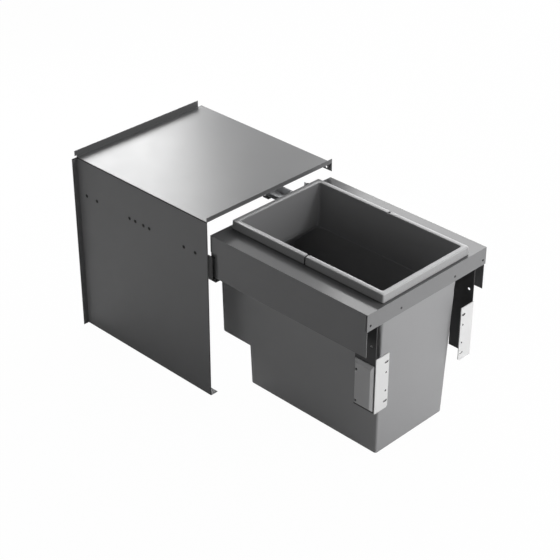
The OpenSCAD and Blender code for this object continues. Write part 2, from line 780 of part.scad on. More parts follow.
// White door bracket: slotted front leg and a side leg inside the arm
module door_bracket(s) {
    inner = arm_out - bracket_width;
    color(c_white)
        on_side(s)
            difference() {
                union() {
                    translate([0, -plate_front, 0])
                        rotate([90, 0, 0])
                            linear_extrude(bracket_sheet)
                                polygon([[arm_out, arm_foot], [arm_out, bracket_top],
                                    [inner, bracket_top], [inner, arm_foot + bracket_chamfer],
                                    [inner + bracket_chamfer, arm_foot]]);
                    translate([arm_in - bracket_sheet, 0, 0])
                        rotate([90, 0, 90])
                            linear_extrude(bracket_sheet)
                                polygon([[-front_plane, arm_foot],
                                    [bracket_leg - front_plane, arm_foot],
                                    [bracket_leg - front_plane, bracket_top - bracket_leg_drop],
                                    [-front_plane, bracket_top]]);
                }
                for (k = [-1, 1]) {
                    rod_y([slot_x, -front_plane - cut, bracket_middle + k * hole_spacing / 2],
                        bracket_hole, bracket_sheet + 2 * cut);
                    for (e = [-1, 1])
                        rod_y([slot_x + e * (slot_length - slot_width) / 2, -front_plane - cut,
                            bracket_middle + k * slot_spacing / 2],
                            slot_width, bracket_sheet + 2 * cut);
                    block([slot_x - (slot_length - slot_width) / 2, -front_plane - cut,
                        bracket_middle + k * slot_spacing / 2 - slot_width / 2],
                        [slot_x + (slot_length - slot_width) / 2, cut - plate_front,
                            bracket_middle + k * slot_spacing / 2 + slot_width / 2]);
                }
                for (k = [-1, 1])
                    rod_x([arm_in - bracket_sheet - cut, rivet_y,
                        bracket_middle + k * rivet_spacing / 2],
                        rivet_hole, bracket_sheet + 2 * cut);
            }
}

// Rivets of one door bracket
module bracket_rivets(s) {
    inside = arm_in - bracket_sheet;
    color(c_dark)
        on_side(s)
            for (k = [-1, 1]) {
                z = bracket_middle + k * rivet_spacing / 2;
                rod_x([inside - bracket_rivet_head_height, rivet_y, z],
                    bracket_rivet, arm_out - inside + bracket_rivet_head_height);
                rod_x([inside - bracket_rivet_head_height, rivet_y, z],
                    bracket_rivet_head, bracket_rivet_head_height);
            }
}

// Plastic guard on the outer face of the left arm, hollow from the back
module arm_guard() {
    y0 = guard_inset - plate_front;
    y1 = guard_back;
    z1 = guard_low + guard_height;
    shoulder = guard_face - guard_chamfer;
    color(c_plastic)
        on_side(-1)
            difference() {
                intersection() {
                    translate([0, 0, guard_low])
                        linear_extrude(guard_height)
                            polygon([[arm_out, y0], [shoulder, y0],
                                [guard_face, y0 + guard_chamfer], [guard_face, y1 - guard_chamfer],
                                [shoulder, y1], [arm_out, y1]]);
                    translate([0, y1, 0])
                        rotate([90, 0, 0])
                            linear_extrude(y1 - y0)
                                polygon([[arm_out, guard_low], [shoulder, guard_low],
                                    [guard_face, guard_low + guard_chamfer],
                                    [guard_face, z1 - guard_top_slope],
                                    [shoulder, z1], [arm_out, z1]]);
                }
                block([arm_out - cut, y0 + guard_wall + guard_chamfer,
                    guard_low + guard_wall + guard_chamfer], [guard_face - guard_wall,
                    y1 - 2 * guard_screw_inset, z1 - guard_wall - guard_top_slope]);
                for (z = guard_screw_z) {
                    rod_x([arm_out - cut, guard_screw_y, z],
                        guard_hole, guard_thickness + 2 * cut);
                    rod_x([guard_seat, guard_screw_y, z],
                        guard_head + 2 * hole_fit, guard_recess + cut);
                }
            }
}

// Screws sunk in the guard face
module guard_screws() {
    color(c_black)
        on_side(-1)
            for (z = guard_screw_z) {
                rod_x([arm_in, guard_screw_y, z], guard_hole - 2 * hole_fit, guard_seat - arm_in);
                rod_x([guard_seat, guard_screw_y, z], guard_head, guard_head_height);
            }
}

// Draw in of the bin walls at a height below the fold
function inset(z) = wall_slope_share * (fold_height - z);

// Cutter that rounds one upright corner edge between two points
module corner_cut(p0, p1, sx, sy, r) {
    v = p1 - p0;
    turn = atan2(v[1], v[0]);
    long = norm(v) + 2 * cut;
    translate(p0)
        rotate([0, acos(v[2] / norm(v)), turn])
            rotate([0, 0, -turn])
                translate([-sx * r * tangent_share, -sy * r * tangent_share, -cut])
                    difference() {
                        translate([sx > 0 ? 0 : -r - cut, sy > 0 ? 0 : -r - cut, 0])
                            cube([r + cut, r + cut, long]);
                        translate([0, 0, -cut])
                            cylinder(r = r, h = long + 2 * cut);
                    }
}

// Solid with straight drafted walls; a, f and b are the half width, the front and
// the rear at the bottom and at the top, side is its outline seen from the side,
// ends are the ends with round corners: -1 the front and 1 the rear
module drafted(side, z, a, f, b, r, ends) {
    difference() {
        intersection() {
            translate([-a[1] - cut, 0, 0])
                rotate([90, 0, 90])
                    linear_extrude(2 * a[1] + 2 * cut)
                        polygon(side);
            translate([0, b[1] + cut, 0])
                rotate([90, 0, 0])
                    linear_extrude(b[1] - f[1] + 2 * cut)
                        polygon([[-a[0], z[0]], [a[0], z[0]], [a[1], z[1]], [-a[1], z[1]]]);
        }
        for (s = [-1, 1], e = ends) {
            y = e < 0 ? f : b;
            corner_cut([s * a[0], y[0], z[0]], [s * a[1], y[1], z[1]], s, e, r);
        }
    }
}

// Lower part of the bin, with the wall w
module bin_main(w) {
    z = [bin_floor + (w > 0 ? floor_thickness : 0), fold_height];
    a = [for (h = z) fold_half - inset(h) - w];
    f = [for (h = z) fold_y0 + inset(h) + w];
    b = [for (h = z) lower_y1 - inset(h) - w];
    drafted([[f[0], z[0]], [b[0], z[0]], [b[1], z[1]], [f[1], z[1]]],
        z, a, f, b, bin_radius - w, [-1]);
}

// Rear shoulder of the bin, with the wall w
module bin_shoulder(w) {
    z = [shoulder_foot + (w > 0 ? floor_thickness : 0), fold_height];
    a = [for (h = z) fold_half - inset(h) - w];
    f = lower_y1 - shoulder_reach;
    b = shoulder_y1 - w;
    drafted([[f, z[0]], [b, z[0]], [b, shoulder_top - w / 2], [fold_y1 - w, z[1]], [f, z[1]]],
        z, a, [f, f], [b, b], bin_radius - w, [1]);
}

// Upper part of the bin above the fold, with the wall w
module bin_upper(w) {
    z = [fold_height, mouth_top + (w > 0 ? cut : 0)];
    a = [fold_half - w, mouth_out - w];
    f = [fold_y0 + w, mouth_y0 + w];
    b = [fold_y1 - w, mouth_y1 - w];
    drafted([[f[0], z[0]], [b[0], z[0]], [b[1], z[1]], [f[1], z[1]]],
        z, a, f, b, upper_radius - w, [-1, 1]);
}

// Bin: folded walls, rear shoulder, raised mouth and the flange on the frame
module bin() {
    color(c_plastic)
        translate([drawer_x, 0, 0])
            difference() {
                union() {
                    bin_main(0);
                    bin_shoulder(0);
                    bin_upper(0);
                    slab(opening_half + flange_reach, opening_y0 - flange_reach,
                        opening_y1 + flange_reach, opening_radius,
                        frame_top, frame_top + flange_thickness);
                }
                bin_main(bin_wall);
                bin_shoulder(bin_wall);
                bin_upper(bin_wall);
            }
}

// Half of the clamp frames: the top band rests on the bin mouth, the skirt hangs
// outside; e is -1 for the front half and 1 for the rear half
module clamp_shell(e) {
    end = seam_y + e * seam_gap / 2;
    difference() {
        slab(clamp_half, clamp_y0, clamp_y1, clamp_radius, frame_top + clamp_gap, clamp_peak);
        slab(ear_out, clamp_y0 + clamp_skirt, clamp_y1 - clamp_skirt,
            clamp_radius - clamp_skirt, frame_top - cut, mouth_top);
        slab(mouth_out - bin_wall, mouth_y0 + bin_wall, mouth_y1 - bin_wall,
            upper_radius - bin_wall, frame_top - cut, clamp_peak + cut);
        block([-clamp_half - cut, e < 0 ? end : clamp_y0 - cut, frame_top - cut],
            [clamp_half + cut, e < 0 ? clamp_y1 + cut : end, clamp_peak + cut]);
        translate([-clamp_half - cut, end + e * seam_radius, clamp_peak - seam_radius])
            rotate([90, 0, 90])
                difference() {
                    translate([e < 0 ? 0 : -seam_radius - cut, 0])
                        cube([seam_radius + cut, seam_radius + cut, 2 * clamp_half + 2 * cut]);
                    translate([0, 0, -cut])
                        cylinder(r = seam_radius, h = 2 * clamp_half + 4 * cut);
                }
    }
}

// Ears that lap across the seam; the inner pair belongs to the front frame
module ear_pair(e) {
    a = e < 0 ? ear_in : ear_split + clamp_gap / 2;
    b = e < 0 ? ear_split - clamp_gap / 2 : ear_out;
    for (s = [-1, 1])
        mirror([s < 0 ? 1 : 0, 0, 0]) {
            block([a, seam_y - ear_reach, ear_foot],
                [b, seam_y + ear_reach, mouth_top - clamp_gap]);
            block([a, seam_y + (e < 0 ? -1 : 0) * ear_reach + e * seam_gap, ear_foot],
                [b, seam_y + (e < 0 ? 0 : 1) * ear_reach + e * seam_gap, mouth_top]);
        }
}

// One clamp frame with its ears and their bores
module clamp_frame(e) {
    color(c_plastic)
        translate([drawer_x, 0, 0])
            difference() {
                union() {
                    clamp_shell(e);
                    ear_pair(e);
                }
                for (s = [-1, 1])
                    mirror([s < 0 ? 1 : 0, 0, 0])
                        rod_x([ear_in - clamp_gap, seam_y, pivot_z],
                            pivot_pin + 2 * pivot_fit, ear_out - ear_in + clamp_gap);
            }
}

// Pivot pins of the clamp frames
module clamp_pins() {
    color(c_zinc)
        for (s = [-1, 1])
            on_side(s)
                rod_x([ear_in, seam_y, pivot_z], pivot_pin, ear_out - ear_in);
}

// Rubber buffer on the rear edge of the frame
module rear_buffer() {
    round_from = frame_top + buffer_height - buffer_radius;
    color(c_plastic)
        translate([drawer_x + buffer_place, -frame_rear - buffer_inset, 0]) {
            translate([0, 0, frame_top])
                cylinder(r = buffer_radius, h = round_from - frame_top);
            translate([0, 0, round_from])
                intersection() {
                    sphere(r = buffer_radius);
                    cylinder(r = buffer_radius, h = buffer_radius);
                }
            translate([0, 0, frame_under - frame_sheet])
                cylinder(d = buffer_peg, h = 2 * frame_sheet);
        }
}

translate([shift_x, shift_y, 0]) {
    side_panel();
    top_cover();
    rail(-1);  // rail_left
    rail(1);  // rail_right
    rail_screws();
    stop(-1);  // stop_left
    stop(1);  // stop_right
    catch(-1);  // catch_left
    catch(1);  // catch_right
    middle(-1);  // middle_left
    middle(1);  // middle_right
    glides(-1);  // glides_left
    glides(1);  // glides_right
    drawer_rail(-1);  // drawer_rail_left
    drawer_rail(1);  // drawer_rail_right
    side_plate(-1);  // side_plate_left
    side_plate(1);  // side_plate_right
    top_frame();
    front_brace();
    rear_member();
    rear_screws();
    skirt_screws();
    arm(-1);  // arm_left
    arm(1);  // arm_right
    door_bracket(-1);  // door_bracket_left
    door_bracket(1);  // door_bracket_right
    bracket_rivets(-1);  // bracket_rivets_left
    bracket_rivets(1);  // bracket_rivets_right
    arm_guard();
    guard_screws();
    bin();
    clamp_frame(-1);  // clamp_front_frame
    clamp_frame(1);  // clamp_rear_frame
    clamp_pins();
    rear_buffer();
}
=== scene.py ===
"""Looks of the pull out trash cabinet: finishes, moulded pieces, light and camera."""

import json
import math

import bmesh
import bpy
import numpy as np
from bpy.props import FloatProperty, FloatVectorProperty, IntProperty, PointerProperty
from mathutils import Matrix, Vector

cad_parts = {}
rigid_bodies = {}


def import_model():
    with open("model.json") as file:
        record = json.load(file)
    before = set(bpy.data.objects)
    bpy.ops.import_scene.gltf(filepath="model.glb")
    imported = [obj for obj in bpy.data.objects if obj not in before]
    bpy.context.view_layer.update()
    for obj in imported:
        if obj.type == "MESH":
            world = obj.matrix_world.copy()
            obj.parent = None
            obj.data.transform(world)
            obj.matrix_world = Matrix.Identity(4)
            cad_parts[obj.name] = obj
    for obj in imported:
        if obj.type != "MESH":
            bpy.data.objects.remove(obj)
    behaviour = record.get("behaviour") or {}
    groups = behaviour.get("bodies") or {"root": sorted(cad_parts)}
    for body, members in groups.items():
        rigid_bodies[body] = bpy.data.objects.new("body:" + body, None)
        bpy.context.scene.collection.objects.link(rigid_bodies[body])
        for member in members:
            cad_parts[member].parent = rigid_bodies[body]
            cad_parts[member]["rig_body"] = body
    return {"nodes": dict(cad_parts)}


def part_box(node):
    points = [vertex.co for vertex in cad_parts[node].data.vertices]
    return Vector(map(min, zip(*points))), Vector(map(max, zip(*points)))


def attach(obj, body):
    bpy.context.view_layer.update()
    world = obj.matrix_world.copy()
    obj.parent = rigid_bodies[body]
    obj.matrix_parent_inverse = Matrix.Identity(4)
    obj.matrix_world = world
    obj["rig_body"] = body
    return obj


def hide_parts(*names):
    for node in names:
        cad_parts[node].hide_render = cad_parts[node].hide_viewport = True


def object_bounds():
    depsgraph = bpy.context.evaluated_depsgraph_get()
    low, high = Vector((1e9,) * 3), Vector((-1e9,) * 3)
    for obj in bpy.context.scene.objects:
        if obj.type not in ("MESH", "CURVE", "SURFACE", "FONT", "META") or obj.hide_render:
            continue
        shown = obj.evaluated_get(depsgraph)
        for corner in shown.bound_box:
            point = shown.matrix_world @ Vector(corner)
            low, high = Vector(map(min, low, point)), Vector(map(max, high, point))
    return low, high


bl_info = {
    "name": "Pull Out Trash Cabinet Looks",
    "version": (1, 0, 0),
    "blender": (4, 5, 0),
    "location": "3D View > Sidebar > Cabinet",
    "description": "Finishes, moulded pieces, light and camera of the trash cabinet",
    "category": "Object",
}

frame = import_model()
CAD_LOW, CAD_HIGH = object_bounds()
MM = 0.001
FRAME_LOW, FRAME_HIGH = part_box("top_frame")
BIN_LOW, BIN_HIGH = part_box("bin")
CLAMP_FRONT_LOW, CLAMP_FRONT_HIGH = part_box("clamp_front_frame")
CLAMP_REAR_LOW, CLAMP_REAR_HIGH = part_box("clamp_rear_frame")
BUFFER_LOW, BUFFER_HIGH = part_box("rear_buffer")
PIN_LOW, PIN_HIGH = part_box("clamp_pins")
RAIL_LOW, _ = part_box("rail_left")
PANEL_LOW, PANEL_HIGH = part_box("side_panel")
_, COVER_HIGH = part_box("top_cover")
BRACKET_LOW, BRACKET_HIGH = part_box("door_bracket_right")
RAIL_SCREW_LOW, RAIL_SCREW_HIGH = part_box("rail_screws")
SKIRT_SCREW_LOW, SKIRT_SCREW_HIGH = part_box("skirt_screws")
GUARD_SCREW_LOW, GUARD_SCREW_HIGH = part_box("guard_screws")
MIDDLE = (FRAME_LOW.x + FRAME_HIGH.x) / 2
SHEET_EDGE = 0.25 * MM
BREAK = 0.3 * MM
HAIR = 0.05 * MM
APART = 3 * MM
MERGE = 0.002 * MM
FLAT_ANGLE = 0.6
BEVEL_ANGLE = 35.0
SMOOTH_ANGLE = 30.0
# Painted shade: the black that the coats blend in where a mask picks out a gap, hole or face in shade.
SHADE_BLACK = (0.01, 0.01, 0.01, 1.0)
# Painted shade: the black of the shaded front ends of the rails, which carry no plastic part.
RAIL_END_SHADE = (0.008, 0.008, 0.008, 1.0)


def length(name, text, value):
    """A size in metres that a user would change."""
    return FloatProperty(name=name, description=text, default=value, unit="LENGTH", precision=4)


def share(name, text, value):
    """A value from nought to one."""
    return FloatProperty(name=name, description=text, default=value, min=0.0, max=1.0)


def colour(name, text, value):
    """A colour in linear light."""
    return FloatVectorProperty(
        name=name, description=text, default=value, subtype="COLOR", size=3, min=0.0, max=1.0
    )


def strength(name, text, value):
    """The power of a lamp, in watts."""
    return FloatProperty(name=name, description=text, default=value, min=0.0, unit="POWER")


def spot(name, text, value):
    """A place in metres."""
    return FloatVectorProperty(
        name=name, description=text, default=value, subtype="TRANSLATION", size=3
    )


def direction(name, text, degrees):
    """An angle, given in degrees."""
    return FloatProperty(
        name=name, description=text, default=math.radians(degrees), unit="ROTATION"
    )


class SheetLook(bpy.types.PropertyGroup):
    """Bent sheet metal of the housing, the drawer and the brackets."""

    coat: colour("Coat", "Powder coat of the housing and the drawer", (0.190, 0.191, 0.194))
    dark: colour(
        "Dark brackets", "Black coat of the arms, the brace and the rear member", (0.022, 0.022, 0.023)
    )
    white: colour("White brackets", "White coat of the door brackets", (0.66, 0.66, 0.66))
    rail: colour("Rails", "Galvanised steel of the rails", (0.60, 0.61, 0.62))
    coat_roughness: share("Coat roughness", "Roughness of the powder coat", 0.12)
    cover_roughness: share("Cover roughness", "Roughness of the coat of the cover", 0.32)
    panel_roughness: share("Panel roughness", "Roughness of the coat of the side panel", 0.50)
    # Painted shade: the black line along the top of the panel, under the cover, stands in for the shade in
    # the gap and on the bend.
    joint: length("Joint", "Width of the dark line along the joint of panel and cover", 2.4 * MM)
    # Painted shade: the height of the darkened band of the rear lip.
    rear_lip: length("Rear lip", "Height of the darker rear lip of the cover", 15.0 * MM)
    # Painted shade: dark rims round the rail holes stand in for the shade in the holes.
    hole_rim_shade: length("Hole rim", "Radius of the dark rims of the rail holes", 4.3 * MM)
    bracket_sheet: length("Bracket sheet", "Thickness of the door brackets", 2.0 * MM)
    hole_inset: length("Hole inset", "Door holes from the outer side of their bracket", 31.5 * MM)
    slot_reach: length("Slot reach", "Half of the width that the door slots and holes keep to", 7.0 * MM)
    slot_rise: length("Slot rise", "Half of the height that the door slots and holes keep to", 58.0 * MM)
    # Painted shade: the front face of the rear flange is darkened because it lies in the shadow of the
    # panel.
    flange_face: length("Flange face", "Front of the rear flange from the rear of the panel", 1.5 * MM)
    flange_reach: length("Flange reach", "Reach of the dark face about that front", 0.9 * MM)
    flange_shade: share("Flange dark", "Darkness of the rear flange", 0.75)
    # Painted shade: the front edge and the rear lip of the cover are darkened for the shade they lie in.
    front_edge_shade: share("Front dark", "Darkness of the front edge of the cover", 0.55)
    lip_shade: share("Lip dark", "Darkness of the rear lip of the cover", 0.22)
    dark_roughness: share("Dark roughness", "Roughness of the black coat", 0.36)
    white_roughness: share("White roughness", "Roughness of the white coat", 0.40)
    # Painted shade: the front ends of the rails are painted black for the shade they lie in; no plastic part
    # is there.
    end_shade: length("Sleeve", "Reach of the black sleeves at the front ends of the rails", 13.0 * MM)
    edge: length("Edge radius", "Radius of the cut edges", 0.3 * MM)
    grain: length("Grain", "Size of the orange peel in the powder coat", 0.9 * MM)


class MouldedLook(bpy.types.PropertyGroup):
    """Moulded plastic of the bin, the clamp frames, the guard and the small parts."""

    body: colour("Body", "Grey plastic of the bin", (0.285, 0.285, 0.29))
    rim: colour("Rim", "Grey plastic of the clamp frames", (0.45, 0.45, 0.455))
    guard: colour("Guard", "Grey plastic of the guard", (0.51, 0.51, 0.515))
    black: colour("Black", "Black plastic of the glides and catches", (0.012, 0.012, 0.012))
    rubber: colour("Rubber", "Black rubber of the stops", (0.016, 0.016, 0.016))
    roughness: share("Roughness", "Roughness of the moulded plastic", 0.46)
    rim_roughness: share("Rim roughness", "Roughness of the clamp frames", 0.28)
    rim_ior: FloatProperty(name="Rim gloss", description="Refraction of the clamp frames", default=1.62)
    rim_foot: length("Rim foot", "Height of the shadow line at the foot of the skirt", 1.6 * MM)
    foot_dark: share("Foot dark", "Darkness of the shadow line", 0.85)
    # Painted shade: the face of the skirt is darkened, not made matt, because that side lies darker than the
    # top under the light.
    skirt_face_shade: share("Face dark", "Darkness of the matt face of the skirt", 0.33)
    # Painted shade: the ears and frame ends beside the seam are black for the shade in the slot.
    seam_shade_reach: length("Seam reach", "Dark part of the frame ends beside the seam", 0.5 * MM)
    black_roughness: share("Black roughness", "Roughness of the glides and catches", 0.40)
    rubber_roughness: share("Rubber roughness", "Roughness of the stops", 0.62)
    screw: colour("Screws", "Black oxide of the screws", (0.012, 0.012, 0.012))
    buffer: colour("Buffer", "Grey rubber of the rear buffer", (0.30, 0.30, 0.30))
    buffer_roughness: share("Buffer roughness", "Roughness of the rear buffer", 0.5)
    guard_edge: length("Guard edge", "Radius of the edges of the guard", 1.0 * MM)
    stop_edge: length("Stop edge", "Radius of the edges of the stops", 0.5 * MM)
    grain: length("Grain", "Size of the grain in the plastic", 0.6 * MM)


class BinSize(bpy.types.PropertyGroup):
    """Shape of the bin, told from the frame top and the bin's own box."""

    fold_drop: length("Fold drop", "Fold in the walls, below the frame top", 83.6 * MM)
    shoulder_drop: length("Shoulder drop", "Underside of the rear shoulder, below the frame top", 291.6 * MM)
    shoulder_slope: length("Shoulder slope", "Height of the sloping back of the shoulder", 71.0 * MM)
    fold_side: length("Fold side", "Inset of the sides at the fold", 8.6 * MM)
    fold_front: length("Fold front", "Inset of the front at the fold", 6.1 * MM)
    fold_rear: length("Fold rear", "Inset of the sloping back at the fold", 4.8 * MM)
    lower_rear: length("Lower rear", "Inset of the lower back at the fold", 9.0 * MM)
    flange: length("Flange", "Reach of the flange beyond the sides of the mouth", 4.0 * MM)
    flange_front: length("Flange front", "Reach of the flange beyond the front of the mouth", 5.8 * MM)
    flange_rear: length("Flange rear", "Reach of the flange beyond the rear of the mouth", 8.3 * MM)
    flange_height: length("Flange height", "Thickness of the flange", 2.5 * MM)
    wall: length("Wall", "Wall thickness", 2.4 * MM)
    ledge: length("Ledge", "Ledge inside along the fold", 0.8 * MM)
    floor: length("Floor", "Floor thickness", 3.0 * MM)
    radius: length("Radius", "Radius of the upright corners above the fold", 7.4 * MM)
    lower_radius: length("Lower radius", "Radius of the upright corners below the fold", 5.0 * MM)
    clamp_reach: length("Clamp reach", "Reach of the rear clamp frame beyond the flange", 3.5 * MM)
    foot_radius: length("Foot radius", "Radius round the floor", 2.5 * MM)
    flange_radius: length("Flange radius", "Corner radius of the flange", 12.0 * MM)
    flange_edge: length("Flange edge", "Break of the upper edge of the flange", 0.4 * MM)
    fold_round: length("Fold round", "Reach of the rounding above and below a fold", 3.0 * MM)
    fold_step: length("Fold step", "Height of the ledge's slope above and below the fold", 0.1 * MM)
    draft: share("Draft", "Draw in of the lower walls for each unit of height", 0.028)


class ClampSize(bpy.types.PropertyGroup):
    """Shape of the two clamp frames."""

    band: length("Band", "Thickness of the top band", 2.6 * MM)
    skirt: length("Skirt", "Thickness of the skirt", 2.4 * MM)
    crown: length("Crown", "Fall of the top band towards its edges", 0.5 * MM)
    edge: length("Edge", "Radius of the outer upper edge", 0.9 * MM)
    lean: length("Lean", "Draw in of the skirt at its upper edge", 1.0 * MM)
    radius: length("Radius", "Outer corner radius", 4.5 * MM)
    inner_radius: length("Inner radius", "Corner radius of the mouth", 5.0 * MM)
    seam: length("Seam radius", "Radius of the frame ends at the seam", 3.5 * MM)
    seam_gap: length("Seam gap", "Gap between the two frames", 3.0 * MM)
    ear: length("Ear", "Reach of the lapped ears from the pivot", 7.0 * MM)
    ear_height: length("Ear height", "Height of the ears below the mouth", 10.0 * MM)
    gap: length("Gap", "Play between the parts", 0.4 * MM)
    ear_radius: length("Ear radius", "Corner radius of the ears", 3.0 * MM)
    foot_break: length("Foot break", "Height of the broken edge at the foot of the skirt", 0.4 * MM)
    lip_break: length("Lip break", "Height of the inner edge under the band", 0.5 * MM)
    least_radius: length("Least radius", "Smallest corner radius", 1.0 * MM)


class SmallSize(bpy.types.PropertyGroup):
    """Sizes and places of the screws, the pins and the rear buffer."""

    screw_place: length("Inner screws", "Inner skirt screws from the middle of the drawer", 83.2 * MM)
    screw_shank: length("Screw shank", "Radius of the skirt screw shank", 1.75 * MM)
    screw_head: length("Screw head", "Height of the skirt screw head", 0.4 * MM)
    screw_hollow: length("Screw hollow", "Depth of the hollow in the outer skirt screws", 2.4 * MM)
    rail_shank: length("Rail screw shank", "Radius of the rail screw shank", 2.7 * MM)
    rail_head: length("Rail screw head", "Height of the rail screw head", 1.8 * MM)
    guard_spacing: length("Guard screws", "Height between the guard screws", 76.0 * MM)
    guard_shank: length("Guard shank", "Radius of the guard screw shank", 1.95 * MM)
    guard_head: length("Guard head", "Height of the guard screw head", 1.8 * MM)
    peg: length("Buffer peg", "Radius of the buffer peg", 2.0 * MM)
    screw_edge: length("Screw edge", "Broken edges of the screws and rivets", 0.25 * MM)
    pin_edge: length("Pin edge", "Broken edges of the pivot pins", 0.2 * MM)
    dome_tip: length("Dome tip", "Radius left open at the top of the buffer", 0.02 * MM)


class StudioLight(bpy.types.PropertyGroup):
    """Lamps, surroundings and camera."""

    gleam: strength("Gleam", "Soft box that the left part of the cover mirrors", 23.0)
    back: strength("Back", "Large soft box that the flat tops mirror", 80.0)
    high: strength("High", "Soft box high in front, that lights the inside of the bin", 18.7)
    front: strength("Front", "Low soft box that lights the front faces", 17.0)
    left: strength("Left", "Low soft box that lights the left faces", 12.0)
    fill: FloatProperty(name="Fill", description="Strength of the surroundings", default=0.01, min=0.0)
    floor_glow: share("Floor glow", "White of the floor to the camera", 0.985)
    floor_mirror: share("Floor mirror", "White of the floor in mirrors", 0.20)
    azimuth: direction("Azimuth", "Direction of the camera", -45.61)
    elevation: direction("Elevation", "Height of the camera", 31.47)
    roll: direction("Roll", "Roll of the camera", 0.20)
    place: spot("Place", "Place of the camera", (-2.06810, -2.04913, 2.00588))
    gleam_width: length("Gleam width", "Side of the soft box over the cover", 0.94)
    gleam_reach: length("Gleam reach", "Its distance along the mirrored line of sight", 1.5)
    gleam_shift: length("Gleam shift", "Its shift to the left of that line", 0.54)
    back_width: length("Back width", "Side of the large soft box", 3.0)
    back_reach: length("Back reach", "Its distance along the mirrored line of sight", 3.2)
    back_shift: length("Back shift", "Its shift to the right of that line", 1.7)
    high_width: length("High width", "Side of the high soft box", 0.6)
    high_place: spot("High place", "Its place from the top of the drawer", (1.15, -2.55, 1.75))
    front_width: length("Front width", "Side of the low soft box in front", 1.1)
    front_place: spot("Front place", "Its place", (0.3, -1.7, 0.45))
    left_width: length("Left width", "Side of the low soft box at the left", 1.6)
    left_place: spot("Left place", "Its place", (-3.2, 0.6, 0.75))
    left_aim: spot("Left aim", "The point that it faces", (0.0, 0.0, 0.3))
    cover_middle: length("Cover middle", "Middle of the cover along y", 0.22)
    drawer_middle: length("Drawer middle", "Middle of the drawer along y", -0.2)
    floor_drop: length("Floor drop", "Floor below the part", 0.2 * MM)
    sensor: FloatProperty(name="Sensor", description="Width of the sensor in millimetres", default=36.0)
    lens: FloatProperty(name="Lens", description="Focal length in millimetres", default=99.27, min=10.0)
    floor_size: length("Floor size", "Side of the floor", 12.0)
    arc: IntProperty(name="Arc", description="Points on a quarter circle", default=10, min=3, max=32)


GROUPS = {
    "cabinet_sheet": SheetLook,
    "cabinet_moulded": MouldedLook,
    "cabinet_bin": BinSize,
    "cabinet_clamp": ClampSize,
    "cabinet_small": SmallSize,
    "cabinet_light": StudioLight,
}


# Shader maths

class Wire:
    """A shader socket or a number; sums and products of wires add their Math nodes."""

    def __init__(self, paint, source):
        self.paint = paint
        self.source = source

    def _math(self, operation, *values):
        node = self.paint.node("ShaderNodeMath", {"operation": operation}, dict(enumerate(values)))
        return Wire(self.paint, node.outputs[0])

    def __add__(self, other):
        return self._math("ADD", self, other)

    __radd__ = __add__

    def __mul__(self, other):
        return self._math("MULTIPLY", self, other)

    __rmul__ = __mul__

    def __sub__(self, other):
        return self._math("SUBTRACT", self, other)

    def __rsub__(self, other):
        return self._math("SUBTRACT", other, self)

    def most(self, other):
        """The larger of two values."""
        return self._math("MAXIMUM", self, other)

    def over(self, other):
        """One where this value is the larger, else nought."""
        return self._math("GREATER_THAN", self, other)

    def near(self, middle, reach):
        """One where this value is less than a reach away from a middle, else nought."""
        return self._math("COMPARE", self, middle, reach)


class Paint:
    """A material and the one method that adds its nodes."""

    def __init__(self, name):
        self.material = bpy.data.materials.new(name)
        self.material.use_nodes = True
        self.tree = self.material.node_tree
        self.tree.nodes.clear()
        self.out = self.node("ShaderNodeOutputMaterial")

    def node(self, kind, settings=None, values=None):
        """Adds a node, its settings first and then the values or links of its sockets."""
        made = self.tree.nodes.new(kind)
        for key, value in (settings or {}).items():
            setattr(made, key, value)
        for key, value in (values or {}).items():
            self.feed(made.inputs[key], value)
        return made

    def feed(self, socket, value):
        """Links a wire to a socket, or sets the socket's own value."""
        if isinstance(value, Wire):
            self.tree.links.new(value.source, socket)
        elif isinstance(value, bpy.types.NodeSocket):
            self.tree.links.new(value, socket)
        else:
            socket.default_value = value

    def place(self):
        """Object coordinates in metres."""
        return self.node("ShaderNodeTexCoord").outputs["Object"]

    def axes(self):
        """Object coordinates x, y and z, in metres, as wires."""
        parts = self.node("ShaderNodeSeparateXYZ", {}, {"Vector": self.place()})
        return [Wire(self, socket) for socket in parts.outputs]

    def noise(self, size, detail=2.0, stretch=(1.0, 1.0, 1.0)):
        """Noise with lumps of a given size, drawn out along an axis where stretch is small."""
        turned = self.node("ShaderNodeMapping", {}, {"Vector": self.place(), "Scale": stretch})
        made = self.node(
            "ShaderNodeTexNoise", {}, {"Vector": turned.outputs[0], "Scale": 1 / size, "Detail": detail}
        )
        return Wire(self, made.outputs["Fac"])

    def blend(self, amount, first, second):
        """A colour between two colours."""
        made = self.node("ShaderNodeMix", {"data_type": "RGBA"}, {"Factor": amount})
        self.feed(made.inputs[6], first)
        self.feed(made.inputs[7], second)
        return made.outputs[2]

    def bump(self, height, depth, strength=1.0):
        """A normal from a height from nought to one, times a depth in metres."""
        return self.node(
            "ShaderNodeBump", {}, {"Height": height, "Distance": depth, "Strength": strength}
        ).outputs[0]

    def finish(self, **sockets):
        """One Principled surface with its sockets."""
        surface = self.node("ShaderNodeBsdfPrincipled")
        for key, value in sockets.items():
            self.feed(surface.inputs[key.replace("_", " ")], value)
        self.tree.links.new(surface.outputs[0], self.out.inputs["Surface"])
        return self.material


def shade(value, factor):
    """A colour made lighter or darker, with full opacity."""
    return (*[min(1.0, c * factor) for c in value], 1.0)


